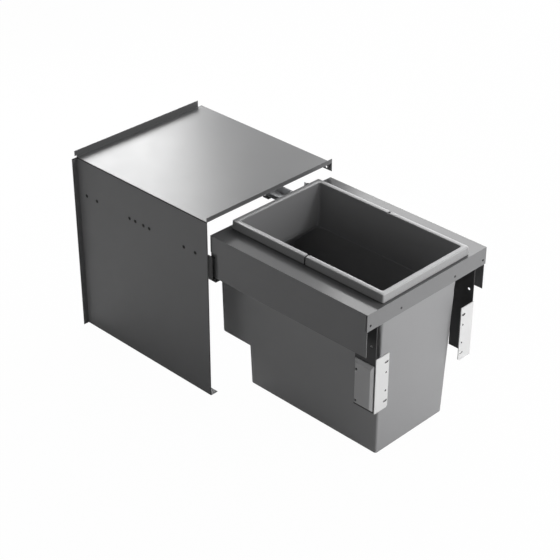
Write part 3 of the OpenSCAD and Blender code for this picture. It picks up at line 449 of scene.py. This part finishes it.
def powder_coat(name, value, roughness, grain, shade_part=None):
    """Powder coat: fine orange peel, slight wear in the gloss and a faint cloud in the tone.
    Where the mask given last, a function of the paint, gives one, the coat is blended to black as painted
    shade."""
    paint = Paint(name)
    cloud = paint.noise(0.12, 3.0)
    peel = paint.noise(grain, 2.0)
    fleck = paint.noise(grain / 3, 1.0)
    tone = paint.blend(cloud * 0.55 + fleck * 0.45, shade(value, 0.94), shade(value, 1.06))
    # Painted shade: black blended into the tone where the mask gives one.
    if shade_part:
        tone = paint.blend(shade_part(paint), tone, SHADE_BLACK)
    return paint.finish(
        Base_Color=tone,
        Roughness=roughness - 0.05 + 0.10 * paint.noise(0.05, 3.0),
        IOR=1.5,
        Normal=paint.bump(peel, 0.03 * MM, 0.35),
    )


def moulded(name, value, roughness, grain, ior=1.46, shade_part=None):
    """Moulded plastic: fine eroded grain with a soft sheen. Where the mask given last, a
    function of the paint, gives one, it is blended to black as painted shade."""
    paint = Paint(name)
    cloud = paint.noise(0.09, 2.0)
    grains = paint.noise(grain, 3.0)
    tone = paint.blend(cloud * 0.6 + grains * 0.4, shade(value, 0.95), shade(value, 1.05))
    # Painted shade: black blended into the tone where the mask gives one.
    if shade_part:
        tone = paint.blend(shade_part(paint), tone, SHADE_BLACK)
    return paint.finish(
        Base_Color=tone,
        Roughness=roughness - 0.04 + 0.08 * grains,
        IOR=ior,
        Normal=paint.bump(grains, 0.02 * MM, 0.4),
    )


def galvanised(name, value, shade_end=None):
    """Galvanised steel: long rolling marks and soft spangle. Ahead of a given end along y the
    surface is painted black and not metallic, as painted shade."""
    paint = Paint(name)
    rolled = paint.noise(0.002, 3.0, (1.0, 0.03, 1.0))
    spangle = paint.noise(0.006, 2.0)
    tone = paint.blend(rolled * 0.5 + spangle * 0.5, shade(value, 0.86), shade(value, 1.08))
    metal = 0.5
    if shade_end is not None:
        # Painted shade: black and not metallic ahead of the given end along y.
        unshaded = paint.axes()[1].over(shade_end)
        tone = paint.blend(unshaded, RAIL_END_SHADE, tone)
        metal = unshaded * metal
    return paint.finish(
        Base_Color=tone,
        Metallic=metal,
        Roughness=0.34 + 0.16 * rolled,
        Normal=paint.bump(rolled, 0.01 * MM, 0.4),
    )


def screw_black(name, value):
    """Black oxide on a screw: dark with a faint cloud in the tone."""
    paint = Paint(name)
    cloud = paint.noise(0.002, 2.0)
    tone = paint.blend(cloud, shade(value, 0.8), shade(value, 1.3))
    return paint.finish(Base_Color=tone, Metallic=0.2, Roughness=0.46 + 0.12 * cloud)


# Surfaces

def ring(half, front, rear, radius, arc):
    """Round rectangle seen from above, counter clockwise: each corner is its centre plus the
    radius times (cos t, sin t), with t running over a quarter turn. The sizes may be columns."""
    half, front, rear, radius = (np.atleast_1d(v)[:, None] for v in (half, front, rear, radius))
    t = np.linspace(0, np.pi / 2, arc)
    turns = [t + k * np.pi / 2 for k in range(4)]
    sides = [(1, 1), (-1, 1), (-1, 0), (1, 0)]
    x = np.hstack([sx * (half - radius) + radius * np.cos(a) for (sx, _), a in zip(sides, turns)])
    ends = [(rear - radius) if back else (front + radius) for _, back in sides]
    y = np.hstack([e + radius * np.sin(a) for e, a in zip(ends, turns)])
    return x, y


def stack(x, y, z):
    """Points on rings x, y at the heights z, moved to the middle of the drawer."""
    z = np.broadcast_to(np.asarray(z)[:, None], x.shape)
    return np.stack([x + MIDDLE, y, z], axis=-1)


def skin(name, grids, angle=35.0):
    """A mesh from grids of points: neighbours along both ways make a face, the second way
    closes on itself and the two ends of the first way get a cap."""
    points, faces, start = [], [], 0
    for p in grids:
        m, n = p.shape[:2]
        index = np.arange(m * n).reshape(m, n) + start
        after = np.roll(index, -1, axis=1)
        quads = np.stack([index[:-1], after[:-1], after[1:], index[1:]], axis=-1).reshape(-1, 4)
        faces += quads.tolist()
        faces += [index[0, ::-1].tolist(), index[-1].tolist()]
        points.append(p.reshape(-1, 3))
        start += m * n
    mesh = bpy.data.meshes.new(name)
    mesh.from_pydata(np.vstack(points).tolist(), [], faces)
    mesh.validate()
    return finished(name, mesh, angle)


def finished(name, mesh, angle):
    """Smooth shading up to an angle, and an object at the origin."""
    mesh.polygons.foreach_set("use_smooth", np.ones(len(mesh.polygons), bool))
    mesh.set_sharp_from_angle(angle=math.radians(angle))
    made = bpy.data.objects.new(name, mesh)
    bpy.context.scene.collection.objects.link(made)
    return made


def turned(places, profile, along, sides=28):
    """Pieces turned on a lathe: the profile's (radius, height) pairs go round the axis along,
    each point being its place plus height times along plus radius times (cos t u + sin t v)."""
    along = Vector(along).normalized()
    u = along.orthogonal().normalized()
    v = along.cross(u)
    t = np.linspace(0, 2 * np.pi, sides, endpoint=False)
    r, h = np.array(profile, float).T
    round_part = np.cos(t)[:, None] * np.array(u) + np.sin(t)[:, None] * np.array(v)
    body = h[:, None, None] * np.array(along) + r[:, None, None] * round_part
    return [body + np.array(p) for p in places]


def places_along(node, axis):
    """Middles of the separate solids of a node along one axis."""
    mesh = frame["nodes"][node].data
    points = np.empty(len(mesh.vertices) * 3)
    mesh.vertices.foreach_get("co", points)
    at = np.unique(points.reshape(-1, 3)[:, axis].round(5))
    groups = np.split(at, np.flatnonzero(np.diff(at) > APART) + 1)
    return [(g[0] + g[-1]) / 2 for g in groups]


def softened(node, name, edge, material, slot):
    """A merged copy of a node with every sharp edge broken, on the node's own body."""
    source = frame["nodes"][node]
    mesh = source.data.copy()
    shape = bmesh.new()
    shape.from_mesh(mesh)
    bmesh.ops.remove_doubles(shape, verts=shape.verts, dist=MERGE)
    bmesh.ops.dissolve_limit(
        shape, angle_limit=math.radians(FLAT_ANGLE), verts=shape.verts, edges=shape.edges
    )
    shape.to_mesh(mesh)
    shape.free()
    mesh.materials.clear()
    mesh.materials.append(material)
    made = finished(name, mesh, SMOOTH_ANGLE)
    bevel = made.modifiers.new("edges", "BEVEL")
    bevel.limit_method = "ANGLE"
    bevel.angle_limit = math.radians(BEVEL_ANGLE)
    bevel.width = edge
    bevel.segments = 2
    bevel.use_clamp_overlap = False
    even = made.modifiers.new("flats", "WEIGHTED_NORMAL")
    even.keep_sharp = True
    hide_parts(node)
    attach(made, source["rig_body"])
    return made


def dress(made, material, body, slot, *nodes):
    """Gives a piece its finish, its body and the nodes it stands for."""
    made.data.materials.append(material)
    if nodes:
        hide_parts(*nodes)
    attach(made, body)
    return made


def coats(look):
    """The sheet finishes by name."""
    outer = BRACKET_HIGH.x - MIDDLE - look.hole_inset
    sheet = look.bracket_sheet
    level = (BRACKET_LOW.z + BRACKET_HIGH.z) / 2

    def panel_shade(paint):
        """Painted shade on the side panel: the dark line at its top under the cover,
        the face of its rear flange in the panel's shadow and the dark rims of its rail holes."""
        x, y, z = paint.axes()
        flange = y.near(PANEL_LOW.y + look.flange_face, look.flange_reach) * look.flange_shade
        shaded = z.over(PANEL_HIGH.z - look.joint).most(flange)
        up = z - (RAIL_SCREW_LOW.z + RAIL_SCREW_HIGH.z) / 2
        # Painted shade: a dark disc round each rail hole.
        for place in places_along("rail_screws", 1):
            along = y - place
            shaded = shaded.most(1 - (along * along + up * up).over(look.hole_rim_shade**2))
        return shaded

    def cover_shade(paint):
        """Painted shade on the cover: black on its left edge, and in part on its front edge and its rear
        lip.
        """
        x, y, z = paint.axes()
        # Painted shade: the left edge of the cover is black as part of the shaded line along the top of the
        # panel.
        left = 1 - x.over(CAD_LOW.x + SHEET_EDGE)
        front = y.over(COVER_HIGH.y - SHEET_EDGE) * look.front_edge_shade
        rear = z.over(COVER_HIGH.z - look.rear_lip) * look.lip_shade
        return left.most(front).most(rear)

    def hole_shade(paint):
        """Painted shade: black on the walls of the slots and holes in both door brackets."""
        x, y, z = paint.axes()
        inside = y.near(BRACKET_LOW.y + sheet / 2, 0.4 * sheet)
        aside = (x - MIDDLE).most((x - MIDDLE) * -1).near(outer, look.slot_reach)
        return inside * aside * z.near(level, look.slot_rise)

    return {
        "sheet": powder_coat("PowderCoat", look.coat, look.coat_roughness, look.grain),
        "cover": powder_coat(
            "CoverCoat", look.coat, look.cover_roughness, look.grain, cover_shade
        ),
        "panel": powder_coat(
            "PanelCoat", look.coat, look.panel_roughness, look.grain, panel_shade
        ),
        "dark_bracket": powder_coat("BlackCoat", look.dark, look.dark_roughness, look.grain),
        "white_bracket": powder_coat(
            "WhiteCoat", look.white, look.white_roughness, look.grain, hole_shade
        ),
        "zinc": galvanised("Galvanised", look.rail),
        # Painted shade: the rails are black ahead of their shaded front ends.
        "rail": galvanised("RailSteel", look.rail, RAIL_LOW.y + look.end_shade),
    }


SHEET_NODES = {
    "sheet": ["top_frame", "side_plate_left", "side_plate_right"],
    "panel": ["side_panel"],
    "cover": ["top_cover"],
    "dark_bracket": ["front_brace", "rear_member", "arm_left", "arm_right"],
    "white_bracket": ["door_bracket_left", "door_bracket_right"],
    "rail": ["rail_left", "rail_right"],
    "zinc": ["middle_left", "middle_right", "drawer_rail_left", "drawer_rail_right"],
}
SLOTS = {"cover": "sheet", "panel": "sheet", "rail": "zinc"}


class CABINET_OT_sheets(bpy.types.Operator):
    """Bent sheet pieces with rolled bends and broken edges"""

    bl_idname = "cabinet.sheets"
    bl_label = "Make Sheet Pieces"

    def execute(self, context):
        look = context.scene.cabinet_sheet
        made = coats(look)
        for coat, nodes in SHEET_NODES.items():
            for node in nodes:
                slot = SLOTS.get(coat, coat)
                softened(node, node + "_sheet", look.edge, made[coat], slot)
        return {"FINISHED"}


def bin_walls(size, z, inner):
    """Half width, front and rear of the bin at the heights z: straight lines between the floor,
    the fold and the mouth, averaged over a few millimetres so that the folds are round. Inside,
    the walls step in by the ledge below the fold."""
    top, fold = BIN_HIGH.z, FRAME_HIGH.z - size.fold_drop
    foot, step = BIN_LOW.z, FRAME_HIGH.z - size.shoulder_drop
    mouth_half = (BIN_HIGH.x - BIN_LOW.x) / 2 - size.flange
    mouth_front = BIN_LOW.y + size.flange_front
    mouth_rear = CLAMP_REAR_HIGH.y - size.clamp_reach - size.flange_rear
    draw = size.draft * (fold - foot)
    spread = np.linspace(-size.fold_round, size.fold_round, 9)
    at = z[:, None] + spread
    half = np.interp(
        at,
        [foot, fold, top],
        [mouth_half - size.fold_side - draw, mouth_half - size.fold_side, mouth_half],
    ).mean(1)
    front = np.interp(
        at,
        [foot, fold, top],
        [mouth_front + size.fold_front + draw, mouth_front + size.fold_front, mouth_front],
    ).mean(1)
    slope = fold - size.shoulder_slope
    wide = z[:, None] + 4 * spread
    shoulder = np.interp(
        wide,
        [slope, fold, top],
        [BIN_HIGH.y, mouth_rear - size.fold_rear, mouth_rear],
    ).mean(1)
    lower = mouth_rear - size.lower_rear - size.draft * (fold - z)
    rear = np.where(z < step, lower, shoulder)
    wall = size.wall + size.ledge * (z < fold) if inner else 0.0
    return half - wall, front + wall, rear - wall


def bin_shell(size, arc):
    """The bin as one closed skin: up the outside from the floor, out and over the flange, over
    the mouth and down the inside to the inner floor."""
    foot, step, top = BIN_LOW.z, FRAME_HIGH.z - size.shoulder_drop, BIN_HIGH.z
    seat = FRAME_HIGH.z
    r = size.foot_radius
    t = np.linspace(0, np.pi / 2, 7)
    low_z = foot + r * (1 - np.cos(t))
    low_in = r * (1 - np.sin(t))
    gap = BREAK
    rise = np.linspace(low_z[-1] + gap, step - gap, 8)
    step_z = step + gap + r * (1 - np.cos(t))
    wall_z = np.linspace(step_z[-1] + gap, seat - gap, 60)
    flange_z = seat + np.array([0.1, 0.1, 0.9, 1.0]) * size.flange_height
    neck_z = np.linspace(seat + size.flange_height * 1.1, top, 5)
    fold = FRAME_HIGH.z - size.fold_drop
    grids = []

    def rings(z, inner, tuck=0.0, tuck_rear=0.0):
        half, front, rear = bin_walls(size, z, inner)
        blend = [size.lower_radius, size.radius]
        corner = np.interp(z, [fold - size.radius, fold + size.radius], blend)
        corner -= size.wall if inner else 0.0
        x, y = ring(half - tuck, front + tuck, rear - tuck - tuck_rear, corner, arc)
        return stack(x, y, z)

    grids.append(rings(low_z, False, low_in))
    grids.append(rings(rise, False))
    grids.append(rings(step_z, False, 0.0, low_in))
    grids.append(rings(wall_z, False))
    half = (BIN_HIGH.x - BIN_LOW.x) / 2
    edge = np.array([0.0, 0.0, 0.0, 1.0]) * size.flange_edge
    rear = CLAMP_REAR_HIGH.y - size.clamp_reach
    x, y = ring(half - edge, BIN_LOW.y + edge, rear - edge, np.full(4, size.flange_radius), arc)
    grids.append(stack(x, y, flange_z))
    grids.append(rings(neck_z, False))
    low_inside = foot + size.floor
    step_inside = step + size.floor
    crease = [fold + size.fold_step, fold - size.fold_step]
    down = np.sort(np.append(np.linspace(top, step_inside + r + gap, 60), crease))[::-1]
    grids.append(rings(down, True))
    grids.append(rings(step_inside + r * (1 - np.cos(t))[::-1], True, 0.0, low_in[::-1]))
    grids.append(rings(np.linspace(step - gap, low_inside + r + gap, 8), True))
    grids.append(rings(low_inside + r * (1 - np.cos(t))[::-1], True, low_in[::-1]))
    return np.concatenate(grids)


class CABINET_OT_bin(bpy.types.Operator):
    """Moulded bin with round folds, rear shoulder and flange"""

    bl_idname = "cabinet.bin"
    bl_label = "Make Bin"

    def execute(self, context):
        scene = context.scene
        look = scene.cabinet_moulded
        made = skin("bin_shell", [bin_shell(scene.cabinet_bin, scene.cabinet_light.arc)], 28.0)
        paint = moulded("BinPlastic", look.body, look.roughness, look.grain)
        dress(made, paint, "drawer", "bin_plastic", "bin")
        return {"FINISHED"}


def half_ring(half, near, far, radius, seam, arc):
    """Path of one clamp frame seen from above, from the seam on one side round the far end to
    the seam on the other: three short steps, a straight run, a quarter circle and the far side,
    then the same mirrored. Returns x, y and the distance from the seam."""
    way = 1.0 if far > seam else -1.0
    steps = np.array([0.0, 0.08, 0.25, 0.55, 1.0]) * near
    run = np.linspace(near, abs(far - seam) - radius, 12)[1:-1]
    straight = np.concatenate([steps, run])
    t = np.linspace(0, np.pi / 2, arc)
    x = np.concatenate([np.full(straight.shape, 1.0) * half, (half - radius) + radius * np.cos(t)])
    y = np.concatenate([seam + way * straight, far - way * radius + way * radius * np.sin(t)])
    d = np.concatenate([straight, np.full(t.shape, abs(far - seam))])
    return np.concatenate([x, -x[::-1]]), np.concatenate([y, y[::-1]]), np.concatenate([d, d[::-1]])


def clamp_half(size, low, high, inner_half, inner_far, arc, front):
    """One clamp frame as rings along its section: from the foot of the skirt inside, round the
    outer face, over the crowned band to the inner edge and back under the band."""
    half = (high.x - low.x) / 2
    seam, far = (high.y, low.y) if front else (low.y, high.y)
    top, foot = high.z, low.z
    under = top - size.band
    edge = size.edge
    t = np.linspace(0, np.pi / 2, 5)
    s = np.linspace(0, 1, 9)
    fall = size.crown
    share_in = np.concatenate([[0.0] * 3, [0.0] * 5, s, [1.0, 1.0], [0.0, 0.0]])
    shift = np.concatenate([
        [size.skirt, BREAK, 0.0],
        size.lean + edge * (1 - np.cos(t)),
        (size.lean + edge) * (1 - s),
        [0.0, 0.0],
        [size.skirt, size.skirt],
    ])
    side = np.concatenate([
        [foot, foot, foot + size.foot_break],
        top - fall - edge + edge * np.sin(t),
        top - fall * (2 * s - 1) ** 2,
        [under + size.lip_break, under],
        [under, foot + size.foot_break],
    ])
    rings = []
    for q, d, z in zip(share_in, shift, side):
        h = half - d + (inner_half - half) * q
        f = far + (d if front else -d) + (inner_far - far) * q
        radius = max(size.radius - d + (size.inner_radius - size.radius) * q, size.least_radius)
        x, y, run = half_ring(h, size.seam, f, radius, seam, arc)
        dip = size.seam - np.sqrt(np.maximum(size.seam**2 - np.maximum(size.seam - run, 0) ** 2, 0))
        height = np.maximum(z - dip * (z > under), np.minimum(z, under + HAIR * (z > under)))
        rings.append(np.stack([x + MIDDLE, y, height], axis=-1))
    return np.array(rings)


def ears(size, inside, outside, top, front, arc):
    """Two plates with round corners round the pivot pins, each an outline (y, z) drawn out
    along x and drawn in a little at both faces."""
    middle = (inside + outside) / 2
    ends = (inside, middle - size.gap / 2) if front else (middle + size.gap / 2, outside)
    tuck = np.array([1, 0, 0, 1]) * BREAK
    away = np.array([0, 1, -1, 0]) * BREAK + np.array([ends[0]] * 2 + [ends[1]] * 2)
    foot = top - size.ear_height
    pivot = (PIN_LOW.y + PIN_HIGH.y) / 2
    y, z = ring(size.ear - tuck, foot + tuck, top - size.gap - tuck, size.ear_radius - tuck, arc)
    x = np.broadcast_to(away[:, None], y.shape)
    return [np.stack([MIDDLE + s * x, pivot + y, z], axis=-1) for s in (-1, 1)]


class CABINET_OT_clamps(bpy.types.Operator):
    """Clamp frames with a crowned band that hold the bag on the mouth"""

    bl_idname = "cabinet.clamps"
    bl_label = "Make Clamp Frames"

    def execute(self, context):
        scene = context.scene
        look, size, bins = scene.cabinet_moulded, scene.cabinet_clamp, scene.cabinet_bin
        arc = scene.cabinet_light.arc
        mouth_half = (BIN_HIGH.x - BIN_LOW.x) / 2 - bins.flange - bins.wall
        mouth_front = BIN_LOW.y + bins.flange_front + bins.wall
        mouth_rear = CLAMP_REAR_HIGH.y - bins.clamp_reach - bins.flange_rear - bins.wall
        inside = mouth_half + bins.wall + size.gap
        outside = (CLAMP_REAR_HIGH.x - CLAMP_REAR_LOW.x) / 2 - size.skirt
        middle = CLAMP_FRONT_HIGH.y - size.ear

        def rim_shade(paint):
            """Painted shade on the clamp frames: black on the ears and the frame ends at the seam,
            the shadow line along the foot of the skirt and, in part, a darker face of the skirt."""
            x, y, z = paint.axes()
            slot = y.near(middle, size.seam_gap / 2 + look.seam_shade_reach)
            foot = 1 - z.over(CLAMP_FRONT_LOW.z + look.rim_foot)
            # Painted shade: the skirt face below the band is darkened.
            face = (1 - z.over(CLAMP_FRONT_HIGH.z - size.band)) * look.skirt_face_shade
            return slot.most(foot * look.foot_dark).most(face)

        paint = moulded(
            "RimPlastic", look.rim, look.rim_roughness, look.grain, look.rim_ior, rim_shade
        )
        for end, low, high, inner in (
            ("front", CLAMP_FRONT_LOW, CLAMP_FRONT_HIGH, mouth_front),
            ("rear", CLAMP_REAR_LOW, CLAMP_REAR_HIGH, mouth_rear),
        ):
            front = end == "front"
            low, high = low.copy(), high.copy()
            if front:
                high.y -= size.ear + size.seam_gap / 2
            else:
                low.y += size.ear + size.seam_gap / 2
            band = clamp_half(size, low, high, mouth_half, inner, arc, front)
            plates = ears(size, inside, outside, BIN_HIGH.z, front, arc)
            made = skin("clamp_%s_band" % end, [np.swapaxes(band, 0, 1)] + plates, 40.0)
            shape = bmesh.new()
            shape.from_mesh(made.data)
            bmesh.ops.recalc_face_normals(shape, faces=shape.faces)
            shape.to_mesh(made.data)
            shape.free()
            even = made.modifiers.new("flats", "WEIGHTED_NORMAL")
            even.keep_sharp = True
            dress(made, paint, "drawer", "bin_plastic", "clamp_%s_frame" % end)
        return {"FINISHED"}


class CABINET_OT_guard(bpy.types.Operator):
    """Guard of the left arm, glides, catches and stops"""

    bl_idname = "cabinet.guard"
    bl_label = "Make Guard And Small Parts"

    def execute(self, context):
        look = context.scene.cabinet_moulded
        grey = moulded("GuardPlastic", look.guard, look.roughness, look.grain)
        black = moulded("BlackPlastic", look.black, look.black_roughness, look.grain)
        rubber = moulded("Rubber", look.rubber, look.rubber_roughness, look.grain)
        softened("arm_guard", "arm_guard_cover", look.guard_edge, grey, "bin_plastic")
        for node in ("glides_left", "glides_right", "catch_left", "catch_right"):
            softened(node, node + "_moulded", BREAK, black, "black_plastic")
        for node in ("stop_left", "stop_right"):
            softened(node, node + "_rubber", look.stop_edge, rubber, "rubber")
        return {"FINISHED"}


class CABINET_OT_screws(bpy.types.Operator):
    """Screws, rivets, pins and the rear buffer"""

    bl_idname = "cabinet.screws"
    bl_label = "Make Screws And Buffer"

    def execute(self, context):
        scene = context.scene
        size = scene.cabinet_small
        look = scene.cabinet_moulded
        dark = screw_black("ScrewBlack", look.screw)
        steel = galvanised("PinSteel", scene.cabinet_sheet.rail)
        for node in ("rear_screws", "bracket_rivets_left", "bracket_rivets_right"):
            softened(node, node + "_made", size.screw_edge, dark, "screw")
        z = (RAIL_SCREW_LOW.z + RAIL_SCREW_HIGH.z) / 2
        head = (RAIL_SCREW_HIGH.z - RAIL_SCREW_LOW.z) / 2
        far = RAIL_SCREW_HIGH.x - RAIL_SCREW_LOW.x
        shank, near = size.rail_shank, far - size.rail_head
        profile = [
            (0.1 * shank, 0.9 * near), (0.84 * shank, 0.9 * near), (0.86 * shank, 0.0),
            (shank, 0.0), (shank, near), (head, near), (head, far), (0.1 * head, far),
        ]
        places = [(RAIL_SCREW_LOW.x, y, z) for y in places_along("rail_screws", 1)]
        made = skin("rail_screws_turned", turned(places, profile, (1, 0, 0)))
        dress(made, dark, frame["nodes"]["rail_screws"]["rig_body"], "screw", "rail_screws")
        softened("clamp_pins", "clamp_pins_made", size.pin_edge, steel, "zinc")
        outer = (SKIRT_SCREW_HIGH.x - SKIRT_SCREW_LOW.x) / 2
        head = (SKIRT_SCREW_HIGH.z - SKIRT_SCREW_LOW.z) / 2
        z = (SKIRT_SCREW_HIGH.z + SKIRT_SCREW_LOW.z) / 2
        face = SKIRT_SCREW_LOW.y
        long = SKIRT_SCREW_HIGH.y - SKIRT_SCREW_LOW.y
        tall = size.screw_head
        grids = []
        for x, deep, wide in (
            (outer - head, size.screw_hollow, 0.62),
            (size.screw_place, 1.2 * tall, 0.42),
        ):
            profile = [
                (0.1 * head, deep), (wide * head, deep), ((wide + 0.03) * head, 0.0),
                (0.80 * head, 0.0), (0.94 * head, 0.18 * tall), (head, 0.5 * tall), (head, tall),
                (size.screw_shank, tall), (size.screw_shank, long),
            ]
            places = [(MIDDLE + s * x, face, z) for s in (-1, 1)]
            grids += turned(places, profile, (0, 1, 0))
        made = skin("skirt_screws_turned", grids)
        dress(made, dark, "drawer", "screw", "skirt_screws")
        middle_y = (GUARD_SCREW_HIGH.y + GUARD_SCREW_LOW.y) / 2
        radius = (GUARD_SCREW_HIGH.y - GUARD_SCREW_LOW.y) / 2
        low = (GUARD_SCREW_HIGH.z + GUARD_SCREW_LOW.z - size.guard_spacing) / 2
        places = [(GUARD_SCREW_LOW.x, middle_y, low + k * size.guard_spacing) for k in (0, 1)]
        tall = size.guard_head
        long = GUARD_SCREW_HIGH.x - GUARD_SCREW_LOW.x
        profile = [
            (0.1 * radius, 0.6 * tall), (0.40 * radius, 0.6 * tall), (0.43 * radius, 0.0),
            (0.70 * radius, 0.05 * tall), (0.92 * radius, 0.3 * tall), (radius, 0.6 * tall),
            (radius, tall), (size.guard_shank, tall), (size.guard_shank, long),
        ]
        made = skin("guard_screws_turned", turned(places, profile, (1, 0, 0)))
        dress(made, dark, "drawer", "screw", "guard_screws")
        radius = (BUFFER_HIGH.x - BUFFER_LOW.x) / 2
        t = np.linspace(0, np.pi / 2, 9)
        top = BUFFER_HIGH.z
        seat = FRAME_HIGH.z
        profile = [(size.peg, BUFFER_LOW.z), (size.peg, seat + HAIR), (radius, seat + HAIR)]
        rise = top - radius
        profile += [(radius * math.cos(a) + size.dome_tip, rise + radius * math.sin(a)) for a in t]
        place = ((BUFFER_LOW.x + BUFFER_HIGH.x) / 2, (BUFFER_LOW.y + BUFFER_HIGH.y) / 2, 0)
        made = skin("rear_buffer_turned", turned([place], profile, (0, 0, 1)))
        soft = moulded("BufferRubber", look.buffer, look.buffer_roughness, look.grain)
        dress(made, soft, "drawer", "rubber", "rear_buffer")
        return {"FINISHED"}


def lamp(name, power, width, place, aim):
    """A square soft box at a place, turned to face its aim."""
    data = bpy.data.lights.new(name, "AREA")
    data.energy = power
    data.size = width
    made = bpy.data.objects.new(name, data)
    made.location = place
    made.rotation_euler = (Vector(aim) - Vector(place)).to_track_quat("-Z", "Y").to_euler()
    bpy.context.scene.collection.objects.link(made)
    return made


def surroundings(fill):
    """World: white to the camera, to mirrors and to glass, a plain fill to everything else."""
    world = bpy.data.worlds.new("Studio")
    bpy.context.scene.world = world
    world.use_nodes = True
    nodes, links = world.node_tree.nodes, world.node_tree.links
    nodes.clear()
    out = nodes.new("ShaderNodeOutputWorld")
    path = nodes.new("ShaderNodeLightPath")
    seen = nodes.new("ShaderNodeMath")
    seen.operation = "MAXIMUM"
    glossy = nodes.new("ShaderNodeMath")
    glossy.operation = "MAXIMUM"
    links.new(path.outputs["Is Camera Ray"], glossy.inputs[0])
    links.new(path.outputs["Is Glossy Ray"], glossy.inputs[1])
    links.new(glossy.outputs[0], seen.inputs[0])
    links.new(path.outputs["Is Transmission Ray"], seen.inputs[1])
    plain = nodes.new("ShaderNodeBackground")
    plain.inputs["Strength"].default_value = fill
    white = nodes.new("ShaderNodeBackground")
    white.inputs["Strength"].default_value = 1.0
    mix = nodes.new("ShaderNodeMixShader")
    links.new(seen.outputs[0], mix.inputs[0])
    links.new(plain.outputs[0], mix.inputs[1])
    links.new(white.outputs[0], mix.inputs[2])
    links.new(mix.outputs[0], out.inputs["Surface"])


def pale_floor(size, drop, glow_share, mirror_share):
    """Floor: mostly white to the camera and in mirrors, with the shadow of the object in it."""
    paint = Paint("PaleFloor")
    path = paint.node("ShaderNodeLightPath")
    body = paint.node("ShaderNodeBsdfDiffuse", {}, {"Color": (0.8, 0.8, 0.8, 1.0)})
    glow = paint.node("ShaderNodeEmission", {}, {"Color": (1, 1, 1, 1), "Strength": 1.0})
    seen = Wire(paint, path.outputs["Is Camera Ray"])
    clear = Wire(paint, path.outputs["Is Transmission Ray"])
    mirrored = Wire(paint, path.outputs["Is Glossy Ray"])
    seen = seen.most(clear) * glow_share + mirrored * mirror_share
    mix = paint.node("ShaderNodeMixShader", {}, {"Fac": seen})
    paint.tree.links.new(body.outputs[0], mix.inputs[1])
    paint.tree.links.new(glow.outputs[0], mix.inputs[2])
    paint.tree.links.new(mix.outputs[0], paint.out.inputs["Surface"])
    mesh = bpy.data.meshes.new("floor")
    s = size / 2
    z = CAD_LOW.z - drop
    mesh.from_pydata([(-s, -s, z), (s, -s, z), (s, s, z), (-s, s, z)], [], [(0, 1, 2, 3)])
    mesh.materials.append(paint.material)
    made = bpy.data.objects.new("floor", mesh)
    bpy.context.scene.collection.objects.link(made)


def photo_camera(light):
    """Camera at the photograph's place, turned by azimuth, elevation and roll."""
    a, e, r = light.azimuth, light.elevation, light.roll
    back = Vector((math.sin(a) * math.cos(e), -math.cos(a) * math.cos(e), math.sin(e)))
    side = Vector((math.cos(a), math.sin(a), 0))
    up = back.cross(side)
    right = math.cos(r) * side + math.sin(r) * up
    over = -math.sin(r) * side + math.cos(r) * up
    data = bpy.data.cameras.new("camera")
    data.lens = light.lens
    data.sensor_width = light.sensor
    made = bpy.data.objects.new("camera", data)
    turn = Matrix((right, over, back)).transposed()
    made.matrix_world = Matrix.Translation(Vector(light.place)) @ turn.to_4x4()
    bpy.context.scene.collection.objects.link(made)
    bpy.context.scene.camera = made
    return back, side


class CABINET_OT_stage(bpy.types.Operator):
    """Floor, surroundings, soft boxes and camera"""

    bl_idname = "cabinet.stage"
    bl_label = "Make Stage"

    def execute(self, context):
        light = context.scene.cabinet_light
        back, side = photo_camera(light)
        surroundings(light.fill)
        pale_floor(light.floor_size, light.floor_drop, light.floor_glow, light.floor_mirror)
        cover = Vector((0.0, light.cover_middle, CAD_HIGH.z))
        mirrored = Vector((-back.x, -back.y, back.z))
        drawer = Vector((MIDDLE, light.drawer_middle, FRAME_HIGH.z))
        gleam = cover + light.gleam_reach * mirrored - light.gleam_shift * side
        lamp("gleam_box", light.gleam, light.gleam_width, gleam, cover)
        middle = (cover + drawer) / 2
        right = middle + light.back_reach * mirrored + light.back_shift * side
        lamp("back_box", light.back, light.back_width, right, drawer)
        high = drawer + Vector(light.high_place)
        lamp("high_box", light.high, light.high_width, high, drawer)
        lamp("front_box", light.front, light.front_width, light.front_place, drawer)
        lamp("left_box", light.left, light.left_width, light.left_place, light.left_aim)
        context.scene.view_settings.view_transform = "Standard"
        return {"FINISHED"}


class CABINET_PT_panel(bpy.types.Panel):
    """The operators in the order that they run"""

    bl_label = "Trash Cabinet"
    bl_idname = "CABINET_PT_panel"
    bl_space_type = "VIEW_3D"
    bl_region_type = "UI"
    bl_category = "Cabinet"

    def draw(self, context):
        for name in STEPS:
            self.layout.operator("cabinet." + name)


STEPS = ["sheets", "bin", "clamps", "guard", "screws", "stage"]
CLASSES = [
    *GROUPS.values(),
    CABINET_OT_sheets,
    CABINET_OT_bin,
    CABINET_OT_clamps,
    CABINET_OT_guard,
    CABINET_OT_screws,
    CABINET_OT_stage,
    CABINET_PT_panel,
]


def register():
    """Registers the classes and hangs the settings on the scene."""
    for c in CLASSES:
        bpy.utils.register_class(c)
    for name, group in GROUPS.items():
        setattr(bpy.types.Scene, name, PointerProperty(type=group))


def unregister():
    """Takes the settings and the classes away again."""
    for name in GROUPS:
        delattr(bpy.types.Scene, name)
    for c in reversed(CLASSES):
        bpy.utils.unregister_class(c)


def main():
    """Makes every piece and the stage."""
    register()
    for name in STEPS:
        getattr(bpy.ops.cabinet, name)()


if __name__ == "__main__":
    main()
